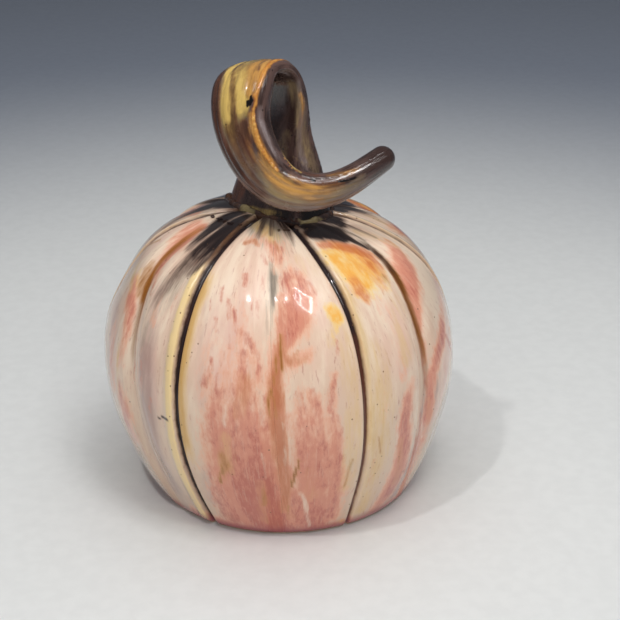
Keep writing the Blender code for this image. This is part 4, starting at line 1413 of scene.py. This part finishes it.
        # one slow wave round the body that comes and goes on the way up, and a finer one across it
        around, up = skin.azimuth, skin.up / 10
        wobble = np.sin(5 * around + 1.1 * up) * np.sin(0.9 * up + 2)
        wobble = wobble + np.sin(11 * around - 1.7 * up + 1) / 2
        high, wide = self.wobble_from_mm
        wobble = self.wobble_mm * wobble * ramp(skin.height, 0, high) * ramp(skin.radius, 0, wide)
        return fade * (skin.lips["height_mm"] - cut) - crease_fade * fold + wobble

    def groove_fade(self, skin: Skin) -> Grid:
        """How deep the grooves are cut, row by row: they end under the stem's root."""
        return ramp(skin.radius, *self.groove_fade_mm)

    def masks(self, skin: Skin) -> dict[str, Grid]:
        """Brushes every glaze on, and repeats the seen panels' strokes on the three hidden ones.

        Args:
            skin: The surface's grids.

        Returns:
            The numbers that the glaze reads at each point of the outer surface, by name.
        """
        per_degree = np.radians(1) * np.maximum(skin.radius, 1.0)
        turn = np.radians(skin.straight)
        radius = self.flow_radius_mm
        flow = np.stack([radius * np.sin(turn), -radius * np.cos(turn), skin.up], axis=-1)
        masks = {"flow": flow, "groove_mm": skin.groove_mm, "crease_mm": skin.crease_mm}
        masks["groove_depth"] = np.broadcast_to(self.groove_fade(skin), skin.up.shape)
        for glaze, strokes in BODY_STROKES.items():
            hidden = (s for centre, start in self.mirrors_deg for s in mirrored(strokes, centre, start))
            masks[glaze.value] = brushed((*strokes, *hidden), skin.straight, skin.up, per_degree)
        for glaze in (Glaze.BUTTER, Glaze.OLIVE, Glaze.MUSTARD):
            masks[glaze.value] = np.maximum(skin.lips[glaze.value], masks.get(glaze.value, 0))
        return masks

    def underside(self, rim: Grid, azimuth: Grid) -> Grid:
        """Rounds the foot and goes on over it, up the vent and round the hollow inside.

        Args:
            rim: The lowest row of the outer surface.
            azimuth: The azimuth of each column, in radians.

        Returns:
            Those rows, by columns by 3, from the rim to the top of the hollow.
        """
        def row(flat: Grid, height: float) -> None:
            """Adds a level row."""
            rows.append(np.column_stack([flat, np.full(len(rim), height)]))

        rows = []
        way = np.stack([np.sin(azimuth), -np.cos(azimuth)], axis=-1)
        reach = np.linalg.norm(rim[:, :2], axis=1, keepdims=True)
        for turn in np.radians(self.foot_turns_deg):
            inset = self.foot_round_mm * (1 - math.cos(turn))
            row(rim[:, :2] * (1 - inset / reach), self.foot_round_mm * (1 - math.sin(turn)))
        edge = rows[-1][:, :2]
        vent = np.array(self.vent_at_mm) + way * self.vent_mm / 2
        for share in self.foot_shares:
            row(edge + (vent - edge) * share, 0.0)
        row(vent, self.floor_mm)
        share = np.linspace(0, 1, self.inside_rows)
        profile = spline(self.profile_mm, share)
        along = unit(np.gradient(profile, axis=0))
        lean = spline(self.lean_mm, share)[:, 0]
        inside = profile - self.wall_mm * np.stack([along[:, 1], -along[:, 0]], axis=1)
        above = (inside[:, 1] > self.floor_mm) & (inside[:, 0] > self.inside_least_mm)
        keep = np.flatnonzero(above)[:: self.inside_every]
        first, last = keep[0], keep[-1]
        base = way * inside[first, 0] + (lean[first], 0.0)
        for share in self.floor_shares:
            row(vent + (base - vent) * share, self.floor_mm)
        for i in keep:
            row(way * inside[i, 0] + (lean[i], 0.0), self.floor_mm if i == first else inside[i, 1])
        row(np.zeros_like(way) + (lean[last], 0.0), inside[last, 1] + self.dome_mm)
        return np.array(rows)

    def crown_height(self, spots: Grid) -> Grid:
        """Finds the smooth crown under places near its middle.

        Args:
            spots: Places, in millimetres, of which only the first two coordinates count.

        Returns:
            The crown's height under each of them, in millimetres.
        """
        share = np.linspace(0, 1, 400)
        profile = spline(self.profile_mm, share)
        lean = spline(self.lean_mm, share)[-1, 0]
        radius = np.hypot(spots[..., 0] - lean, spots[..., 1])
        return np.interp(radius, profile[::-1, 0], profile[::-1, 1])


@dataclass
class Rings:
    """Rings along the strap: their share of the way, middle, directions, width and thickness."""

    share: Grid
    middle: Grid
    along: Grid
    front: Grid
    outer: Grid
    width: Grid
    thick: Grid

    def per_degree(self) -> Grid:
        """The length of one degree round each ring, in millimetres."""
        return ((self.width + self.thick) / 4 * math.radians(1))[:, None]


@dataclass
class CurledStem:
    """The pulled strap: up at the back, over the top, forward at the left and across to its tip."""

    # middle (x, y, z), width and thickness in millimetres, and roll in degrees, from root to tip
    stations: tuple[tuple[float, ...], ...] = (
        (-1, 3.5, 71, 29, 19, 0),
        (-0.2, 5.7, 83, 23.2, 13.8, -4),
        (-0.1, 6, 93.4, 17.9, 8.2, -4),
        (-0.6, 4.6, 102.5, 15.3, 4.9, 10),
        (-3.1, 2, 108.8, 14.6, 4.1, 14),
        (-7.1, -2.3, 109.5, 15, 4.9, 12),
        (-9.2, -6.4, 106.6, 15.8, 6.9, 4),
        (-9.4, -10, 99.3, 14.5, 8.5, 4),
        (-5.6, -13.3, 90.5, 12.7, 8.9, 3),
        (1.6, -16.2, 84.9, 10.6, 7.8, 5),
        (12.6, -16.3, 85.2, 8.2, 6.7, 18),
        (24, -11.5, 90.7, 6.4, 6.2, 28),
    )
    root_faces_deg: float = 46.0
    rings: int = 260
    sides: int = 120
    # 2 gives a round section, and more a squarer one
    squareness: float = 2.7
    tip_rings: int = 12
    # the strap turns round over this share before its tip
    round_share: float = 0.24
    # the joint with the crown lies below this share, and is looked for in this many rings
    joint_share: float = 0.15
    joint_rings: int = 300
    # the painted shade on the inner face begins and ends between these turns, and fades out between these
    # shares
    inner_start_deg: Pair = (205.0, 235.0)
    inner_end_deg: Pair = (312.0, 335.0)
    inner_fade: Pair = (0.8, 0.9)
    # the tip is this dark past this share
    tip_dark: float = 1.5
    tip_share: float = 0.92
    dent_mm: float = 0.4
    # lengthwise dents in the outer face: where across it, half how wide, and how deep
    dents: tuple[tuple[float, float, float], ...] = (
        (-0.42, 0.09, 1.0), (-0.08, 0.07, 1.1), (0.18, 0.05, 0.5), (0.46, 0.09, 0.9), (-0.66, 0.05, 0.5),
        (0.30, 0.04, 0.35), (-0.24, 0.04, 0.35),
    )
    # a ridge rises and falls over this share, and loses this much of its gold between these shares
    ridge_end: float = 0.02
    ridge_dull: float = 0.85
    ridge_dulls: Pair = (0.80, 0.90)
    # beads rise and fall about a level, and drift to and fro off their pitch
    bead_level: float = 0.75
    bead_swing: float = 0.45
    bead_drift: float = 1.6
    bead_wander: float = 0.9
    # height, half width, bead pitch in millimetres, how golden, then (share, turn) points
    ridges: tuple = (
        (0.30, 0.50, 1.25, 1.0, ((0.62, 48), (0.66, 46), (0.72, 46), (0.78, 47))),
        (0.22, 0.50, 0.0, 0.9, ((0.22, 48), (0.30, 50), (0.40, 44), (0.47, 36), (0.53, 40), (0.60, 48))),
        (0.30, 0.42, 1.7, 0.8,
         ((0.74, -6), (0.78, -4), (0.81, 0), (0.85, 6), (0.90, 9), (0.96, 12), (1.02, 17))),
        (0.20, 0.40, 0.0, 0.1, ((0.33, 350), (0.38, 351), (0.44, 347), (0.48, 340))),
        (0.18, 0.40, 2.1, 0.3, ((0.02, 20), (0.10, 24), (0.16, 22), (0.24, 12))),
    )

    def build(self, effects: Effects) -> Piece:
        """Models the strap as one closed sheet and glazes it.

        Args:
            effects: The shared node groups.

        Returns:
            The stem, with its glaze, riding on the root.
        """
        rings = self.frames(np.linspace(0, 1, self.rings))
        turn = np.linspace(0, math.tau, self.sides + 1)
        turn[-1] = 0.0
        degrees = np.broadcast_to(np.degrees(turn), (self.rings, self.sides + 1))
        lift, ridge = self.raised(rings, degrees)
        shell = self.shell(rings, turn, lift)
        last, end, radius = rings.middle[-1], shell[-1], rings.thick[-1] / 2
        length = distance_up(rings.middle)
        tip, beyond = [], []
        for angle in np.linspace(0, math.pi / 2, self.tip_rings)[1:]:
            ahead = last + rings.along[-1] * radius * math.sin(angle)
            tip.append(ahead + (end - last) * math.cos(angle))
            beyond.append(length[-1] + radius * angle)
        root = np.tile(rings.middle[0], (1, self.sides + 1, 1))
        points = np.concatenate([root, shell, np.array(tip)])
        stem = rolled_sheet("pumpkin_stem", points, np.zeros(len(points) - 1))
        way = np.concatenate([[0.0], length, beyond])
        rows = [0, *range(self.rings), *[self.rings - 1] * len(tip)]
        for name, values in self.masks(way, degrees[rows], rings.per_degree()[rows], turn).items():
            painted(stem, name, values)
        painted(stem, "ridge", ridge[rows])
        sewn(stem)
        stem.data.materials.append(StemGlaze().material(effects))
        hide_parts("stem")
        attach(stem, "root")
        return stem

    def shell(self, rings: Rings, turn: Grid, lift: Grid | float) -> Grid:
        """Goes round each ring of the strap, flat with round edges, and round at the tip.

        Args:
            rings: The rings that the strap is laid over.
            turn: The way round a ring, in radians.
            lift: How far the surface stands out, in millimetres.

        Returns:
            The strap's own surface, rings by sides by 3.
        """
        front, outer = rings.front[:, None], rings.outer[:, None]
        strap = np.clip((1 - rings.share) / self.round_share, 0, 1)[:, None]
        power = 2 / (2 + (self.squareness - 2) * strap)
        across, out = (np.sign(way) * np.abs(way) ** power for way in (np.cos(turn), np.sin(turn)))
        cut = sum(depth * hill(across - line, half) for line, half, depth in self.dents)
        lift = lift - self.dent_mm * cut * (out > 0) * strap
        sideways = across * rings.width[:, None] / 2 + lift * np.cos(turn)
        outwards = out * rings.thick[:, None] / 2 + lift * np.sin(turn)
        return rings.middle[:, None] + sideways[..., None] * front + outwards[..., None] * outer

    def raised(self, rings: Rings, degrees: Grid) -> tuple[Grid, Grid]:
        """Lifts the surface into ridges, some of them beaded.

        Args:
            rings: The rings of the strap.
            degrees: The way round them at each point.

        Returns:
            How far each point is lifted in millimetres, and how golden it is from 0 to 1.
        """
        share, length, per_degree = rings.share, distance_up(rings.middle), rings.per_degree()
        lift, ridge = np.zeros_like(degrees, float), np.zeros_like(degrees, float)
        for height, half, pitch, golden, points in self.ridges:
            shares, turns = zip(*points)
            line = np.interp(share, shares, turns)[:, None]
            along = step(share, shares[0] - self.ridge_end, shares[0] + self.ridge_end)
            if shares[-1] < 1:
                along = along * (1 - step(share, shares[-1] - self.ridge_end, shares[-1] + self.ridge_end))
            off = ((degrees - line + 180) % 360 - 180) * per_degree
            crest = hill(off, half) * along[:, None]
            beads = 1.0
            if pitch:
                phase = length * math.tau / pitch + self.bead_drift * np.sin(length * self.bead_wander)
                beads = (self.bead_level + self.bead_swing * np.sin(phase))[:, None]
            lift = lift + height * crest * beads
            bright = golden * (1 - self.ridge_dull * step(share, *self.ridge_dulls)[:, None])
            ridge = np.maximum(ridge, crest * np.minimum(beads, 1.0) * bright)
        return lift, ridge

    def reach(self, share: float, way: Grid) -> float:
        """The way up the strap at a share of its stations, or a little past the last one."""
        rings = way[1 : self.rings + 1]
        return float(np.interp(share, np.linspace(0, 1, self.rings), rings) + max(share - 1, 0) * rings[-1])

    def masks(self, way: Grid, degrees: Grid, per_degree: Grid, turn: Grid) -> dict[str, Grid]:
        """Brushes every glaze on, and marks painted shade on the strap's inner face.

        Args:
            way: The way up the strap of each row, in millimetres.
            degrees: The way round it at each point.
            per_degree: The length of one degree in each row, in millimetres.
            turn: The way round it of each column, in radians.

        Returns:
            The numbers that the glaze reads at each point, by name.
        """
        total = way[self.rings]
        up = np.broadcast_to(way[:, None], degrees.shape)
        around = per_degree * 180 / math.pi
        flow = np.stack([around * np.sin(turn), around * np.cos(turn), up], axis=-1)
        masks = {"flow": flow}
        for glaze, strokes in STEM_STROKES.items():
            placed = tuple(tuple((p[1], self.reach(p[0], way), p[2], p[3]) for p in s) for s in strokes)
            masks[glaze.value] = brushed(placed, degrees, up, per_degree)
        # painted shade on the inner face of the curl, which looks into the loop
        inner = step(degrees, *self.inner_start_deg) * (1 - step(degrees, *self.inner_end_deg))
        inner = inner * (1 - step(up, self.inner_fade[0] * total, self.inner_fade[1] * total))
        masks["inner"] = inner + self.tip_dark * step(up, self.tip_share * total, total)
        return masks

    def frames(self, share: Grid) -> Rings:
        """Lays out rings along the strap.

        The width way is carried along the strap without twist, and each ring then gets its roll.

        Args:
            share: The share of the stations at which each ring lies.

        Returns:
            The rings.
        """
        values = spline(self.stations, share)
        middle, width, thick = values[:, :3], values[:, 3], values[:, 4]
        along = unit(np.gradient(middle, axis=0))
        faces = math.radians(self.root_faces_deg)
        carried = np.array([math.sin(faces), -math.cos(faces), 0.0])
        front = np.zeros_like(middle)
        for i, way in enumerate(along):
            carried = carried - (carried @ way) * way
            carried /= np.linalg.norm(carried)
            front[i] = carried
        outer = np.cross(along, front)
        roll = np.radians(values[:, 5:6])
        turned_front = front * np.cos(roll) + outer * np.sin(roll)
        turned_outer = outer * np.cos(roll) - front * np.sin(roll)
        return Rings(share, middle, along, turned_front, turned_outer, width, thick)

    def joint(self, body: HollowBody, count: int) -> Grid:
        """Where the root's skin meets the crown, in millimetres.

        Args:
            body: The body that the root stands on.
            count: How many points to give round the root.

        Returns:
            Count rows of a place and of the level way out from the root, 5 numbers each.
        """
        turn = np.linspace(0, math.tau, count, endpoint=False)
        rings = self.frames(np.linspace(0, self.joint_share, self.joint_rings))
        shell = self.shell(rings, turn, 0.0)
        above = shell[..., 2] > body.crown_height(shell)
        first = np.argmax(above, axis=0)
        place = shell[first, np.arange(count)]
        away = place[:, :2] - place[:, :2].mean(axis=0)
        return np.concatenate([place, unit(away)], axis=1)


@dataclass
class LutingRoll:
    """The thin roll of clay smoothed round the joint between the stem's root and the crown."""

    around: int = 220
    sides: int = 16
    width_mm: float = 1.7
    height_mm: float = 1.15
    sink_mm: float = 0.35
    # the roll's middle lies this share of its width out from the joint
    outset: float = 0.15
    # it swells in waves: how many go round it, where they start, and how high they are
    swells: tuple[tuple[float, float, float], ...] = ((7, 1, 0.22), (13, 4, 0.16), (29, 0, 0.1))

    def build(self, effects: Effects, body: HollowBody, stem: CurledStem) -> Piece:
        """Models the roll from a ring bent to the joint.

        Args:
            effects: The shared node groups.
            body: The body that it lies on.
            stem: The stem whose root it goes round.

        Returns:
            The roll, riding on the root.
        """
        bpy.ops.object.select_all(action="DESELECT")
        bpy.ops.mesh.primitive_torus_add(major_segments=self.around, minor_segments=self.sides)
        roll = bpy.context.object
        roll.name = roll.data.name = "luting_roll"
        path = stem.joint(body, self.around)
        turn = np.arange(self.around) * math.tau / self.around
        swell = sum((high * np.sin(waves * turn + start) for waves, start, high in self.swells), 1.0)
        side = np.linspace(0, math.tau, self.sides, endpoint=False)
        out = (np.cos(side)[None] * 0.5 + self.outset) * self.width_mm * swell[:, None]
        up = np.sin(side)[None] * self.height_mm * swell[:, None] - self.sink_mm
        flat = path[:, None, :2] + out[..., None] * path[:, None, 3:]
        points = np.concatenate([flat, (path[:, None, 2] + up)[..., None]], axis=-1)
        roll.data.vertices.foreach_set("co", (points * MM).astype(np.float32).ravel())
        sewn(roll)
        roll.data.materials.append(RootGlaze().material(effects))
        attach(roll, "root")
        return roll


@dataclass(frozen=True)
class RootGlaze:
    """The glaze round the root, where dark and olive glaze caught on scraps of clay."""

    dark: Colour = tone(42, 30, 28)
    brown: Colour = tone(78, 52, 38)
    olive: Colour = tone(132, 116, 80)
    roughness: Pair = (0.1, 0.3)

    def material(self, effects: Effects) -> Material:
        """Builds the material.

        Args:
            effects: The shared node groups.

        Returns:
            The glaze of the roll and the scraps.
        """
        finish = Finish.opened("root_glaze")
        graph = finish.graph
        place = graph.place()
        melt = graph.group(effects.melt, Place=place, Seed=2.0)
        cloud = melt.outputs["Cloud"]
        patch = graph.node("TexNoise", {"Vector": place, "Scale": 0.16, "Detail": 3.0}).outputs["Fac"]
        colour = graph.mix(graph.smooth(cloud, 0.4, 0.6), self.dark, self.brown)
        bump = graph.node("Bump", {"Height": melt.outputs["Peel"], "Distance": 0.1 * MM, "Strength": 0.8})
        return finish.wire(
            Base_Color=graph.mix(graph.smooth(patch, 0.54, 0.68), colour, self.olive),
            Roughness=graph.smooth(cloud, 0.35, 0.7, *self.roughness), Normal=bump.outputs["Normal"],
            Coat_Weight=0.6, Coat_Roughness=0.05,
        )


@dataclass
class ClayScraps:
    """Crumbs of clay left from carving, fired into the glaze beside the root."""

    grit_mm: float = 1.1
    rough_mm: float = 0.7
    # a crumb's middle lies this share of its height above the crown
    perch: float = 0.15
    # azimuth and way out from the crown's middle, then length, width and height, and the turn
    crumbs: tuple[tuple[float, ...], ...] = (
        (-66, 14.6, 2, 0.8, 0.6, 20), (-58, 14, 1.6, 0.7, 0.6, -35), (-48, 13.9, 1.9, 0.7, 0.6, 15),
        (-38, 13.2, 1.5, 0.7, 0.5, 60), (14, 14.4, 1.8, 0.7, 0.6, 10), (22, 14.8, 1.6, 0.6, 0.5, -30),
        (-76, 15.6, 1.5, 0.8, 0.5, 50), (6, 14, 1.3, 0.7, 0.5, 80), (150, 16, 1.9, 0.8, 0.6, 30),
        (208, 15.4, 1.8, 0.7, 0.5, -20),
    )

    def build(self, effects: Effects, body: HollowBody) -> Piece:
        """Models the crumbs, each squeezed from a ball of its own and roughened.

        Args:
            effects: The shared node groups.
            body: The body whose crown they lie on.

        Returns:
            All crumbs as one piece, riding on the root.
        """
        grit = bpy.data.textures.new("crumb_grit", "CLOUDS")
        grit.noise_scale = self.grit_mm * MM
        made = []
        for azimuth, out, length, width, height, turn in self.crumbs:
            way = math.radians(azimuth)
            spot = np.array([out * math.sin(way) + body.lean_mm[-1], -out * math.cos(way)])
            level = float(body.crown_height(spot)) + self.perch * height
            place = Vector((spot[0], spot[1], level)) * MM
            bpy.ops.object.select_all(action="DESELECT")
            bpy.ops.mesh.primitive_ico_sphere_add(subdivisions=3, radius=MM / 2)
            crumb = bpy.context.object
            bpy.ops.object.mode_set(mode="EDIT")
            bpy.ops.mesh.select_all(action="SELECT")
            bpy.ops.transform.resize(value=(length, width, height))
            bpy.ops.transform.rotate(value=math.radians(turn), orient_axis="Z", center_override=(0, 0, 0))
            bpy.ops.transform.translate(value=place)
            bpy.ops.object.mode_set(mode="OBJECT")
            rough = crumb.modifiers.new("rough", "DISPLACE")
            rough.texture, rough.texture_coords, rough.strength = grit, "LOCAL", self.rough_mm * MM
            bpy.ops.object.modifier_apply(modifier=rough.name)
            made.append(crumb)
        for crumb in made:
            crumb.select_set(True)
        bpy.context.view_layer.objects.active = made[0]
        bpy.ops.object.join()
        scraps = bpy.context.object
        scraps.name = scraps.data.name = "clay_scraps"
        bpy.ops.object.shade_smooth()
        scraps.data.materials.append(RootGlaze().material(effects))
        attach(scraps, "root")
        return scraps


@dataclass(frozen=True)
class PhotoCamera:
    """The photo's viewpoint, worked out from the body's outline, foot and grooves."""

    target_mm: Point = (6.75, -0.5, 46.0)
    distance_mm: float = 405.0
    pitch_deg: float = 24.6
    focal_px: float = 1576.0
    frame_px: float = 620.0

    def build(self) -> None:
        """Adds the camera and makes it the scene's own."""
        pitch = math.radians(self.pitch_deg)
        back = Vector((0, -math.cos(pitch), math.sin(pitch))) * self.distance_mm
        place = (Vector(self.target_mm) + back) * MM
        bpy.ops.object.camera_add(location=place, rotation=(math.pi / 2 - pitch, 0, 0))
        camera = bpy.context.object
        camera.name = "photo_camera"
        camera.data.sensor_fit = "HORIZONTAL"
        camera.data.angle = 2 * math.atan(self.frame_px / 2 / self.focal_px)
        camera.data.clip_start = 0.01
        bpy.context.scene.camera = camera


@dataclass(frozen=True)
class PaleFloor:
    """A wide pale sheet of paper under the pumpkin, with painted shade that darkens it away from the middle.
    """

    half_m: float = 12.0
    paper: Colour = tone(226, 227, 225)
    far_paper_shade: Colour = tone(140, 147, 160)
    # painted shade: the paper turns to its darker far colour between these distances, standing in for the
    # light falling off away from the pumpkin
    turns_m: Pair = (0.13, 0.42)
    cloud_dark: float = 0.04

    def build(self, effects: Effects) -> None:
        """Lays the floor down as part of the stage.

        Args:
            effects: The shared node groups.
        """
        bpy.ops.object.select_all(action="DESELECT")
        bpy.ops.mesh.primitive_plane_add(size=2 * self.half_m)
        floor = bpy.context.object
        floor.name = "floor"
        finish = Finish.opened("paper")
        graph = finish.graph
        place = graph.place()
        cloud = graph.group(effects.melt, Place=place, Seed=1.0).outputs["Cloud"]
        away = graph.node("VectorMath", {0: place}, operation="LENGTH").outputs["Value"]
        # painted shade: the paper darkens with distance from the middle
        falloff_shade = graph.smooth(away, self.turns_m[0] / MM, self.turns_m[1] / MM)
        shade = graph.mix(falloff_shade, self.paper, self.far_paper_shade)
        shade = graph.mix(graph.smooth(cloud, 0.3, 0.7, 0, self.cloud_dark), shade, (0.0, 0.0, 0.0))
        floor.data.materials.append(finish.wire(Base_Color=shade, Roughness=0.6))


def area_lamp(name: str, place: Vector, turn: Euler, size: Pair, watts: float) -> Piece:
    """Adds a rectangular lamp that shines along its own -Z.

    Args:
        name: The lamp's name.
        place: Its middle, in metres.
        turn: Its rotation.
        size: Its width along X and height along Y, in metres.
        watts: Its power.

    Returns:
        The lamp.
    """
    bpy.ops.object.light_add(type="AREA", location=place, rotation=turn)
    lamp = bpy.context.object
    lamp.name = name
    lamp.data.shape = "RECTANGLE"
    lamp.data.size, lamp.data.size_y = size
    lamp.data.energy = watts
    return lamp


@dataclass(frozen=True)
class Lamp:
    """One soft white lamp: where it stands, what it faces, its size and its strength."""

    name: str
    place_m: Point
    faces_m: Point
    size_m: Pair
    watts: float
    mirrored: bool = True

    def build(self) -> None:
        """Adds the lamp. One that isn't mirrored gives light but no shape in the glaze."""
        place = Vector(self.place_m)
        turn = (place - Vector(self.faces_m)).to_track_quat("Z", "Y").to_euler()
        area_lamp(self.name, place, turn, self.size_m, self.watts).visible_glossy = self.mirrored


@dataclass(frozen=True)
class BarLamp:
    """A thin lamp from one corner to another, facing the pumpkin."""

    name: str
    start_m: Point
    end_m: Point
    width_m: float
    watts_per_m: float
    aim_m: Point = (0.0, 0.0, 0.06)

    def build(self) -> None:
        """Adds the bar."""
        start, end = Vector(self.start_m), Vector(self.end_m)
        middle = (start + end) / 2
        along = (end - start).normalized()
        back = (middle - Vector(self.aim_m)).normalized()
        back = (back - along * back.dot(along)).normalized()
        turn = Matrix((along, back.cross(along), back)).transposed().to_euler()
        length = (end - start).length
        area_lamp(self.name, middle, turn, (length, self.width_m), self.watts_per_m * length)


@dataclass(frozen=True)
class StudioLight:
    """A soft box above, fills from the front and sides, and the small lights that the glaze mirrors."""

    room: Colour = tone(88, 90, 94)
    room_strength: float = 1.0
    lamps: tuple[Lamp, ...] = (
        Lamp("soft_box", (0.03, 0.0, 0.50), (0.0, 0.0, 0.0), (0.7, 0.6), 1.55, mirrored=False),
        Lamp("front_fill", (0.10, -0.95, 0.36), (0.0, 0.0, 0.04), (1.6, 0.6), 3.4, mirrored=False),
        Lamp("left_fill", (-0.60, -0.20, 0.34), (0.0, 0.0, 0.03), (1.0, 0.8), 0.3, mirrored=False),
        Lamp("right_fill", (0.60, -0.10, 0.34), (0.0, 0.0, 0.03), (1.0, 0.8), 0.4, mirrored=False),
        Lamp("spot_lamp", (-0.149, -0.219, 0.506), (0.0, 0.0, 0.06), (0.022, 0.022), 0.5),
    )
    # the corners of the lit window, along its upper and its lower edge
    window_m: tuple = (
        ((0.013, -0.134, 0.555), (0.078, -0.119, 0.553), (0.127, -0.143, 0.537), (0.186, -0.181, 0.507)),
        ((0.013, -0.202, 0.535), (0.077, -0.247, 0.510), (0.134, -0.285, 0.475), (0.179, -0.311, 0.441)),
    )
    bar_m: float = 0.009
    bar_watts_per_m: float = 0.9

    def build(self) -> None:
        """Lights the scene."""
        world = bpy.data.worlds.new("studio")
        bpy.context.scene.world = world
        world.use_nodes = True
        background = world.node_tree.nodes["Background"]
        background.inputs["Color"].default_value = (*self.room, 1)
        background.inputs["Strength"].default_value = self.room_strength
        bpy.context.scene.view_settings.view_transform = "Standard"
        for lamp in (*self.lamps, *self.window_bars()):
            lamp.build()

    def window_bars(self) -> list[BarLamp]:
        """The lit bars of a small window, each a thin lamp between two corners.

        Returns:
            The bars, in the order of their numbers.
        """
        upper, lower = self.window_m
        spans = [*zip(upper, upper[1:]), *zip(lower, lower[1:]), *zip(upper[1:], lower[1:])]
        return [BarLamp(f"window_bar_{i}", start, end, self.bar_m, self.bar_watts_per_m)
                for i, (start, end) in enumerate(spans)]


def main() -> None:
    """Builds the pumpkin and its stage."""
    logging.basicConfig(level=logging.INFO, format="%(message)s")
    effects = Effects()
    body, stem = HollowBody(), CurledStem()
    pieces = (
        body.build(effects), stem.build(effects),
        LutingRoll().build(effects, body, stem), ClayScraps().build(effects, body),
    )
    for piece in pieces:
        LOG.info("%s: %d faces", piece.name, len(piece.data.polygons))
    PaleFloor().build(effects)
    StudioLight().build()
    PhotoCamera().build()


if __name__ == "__main__":
    main()
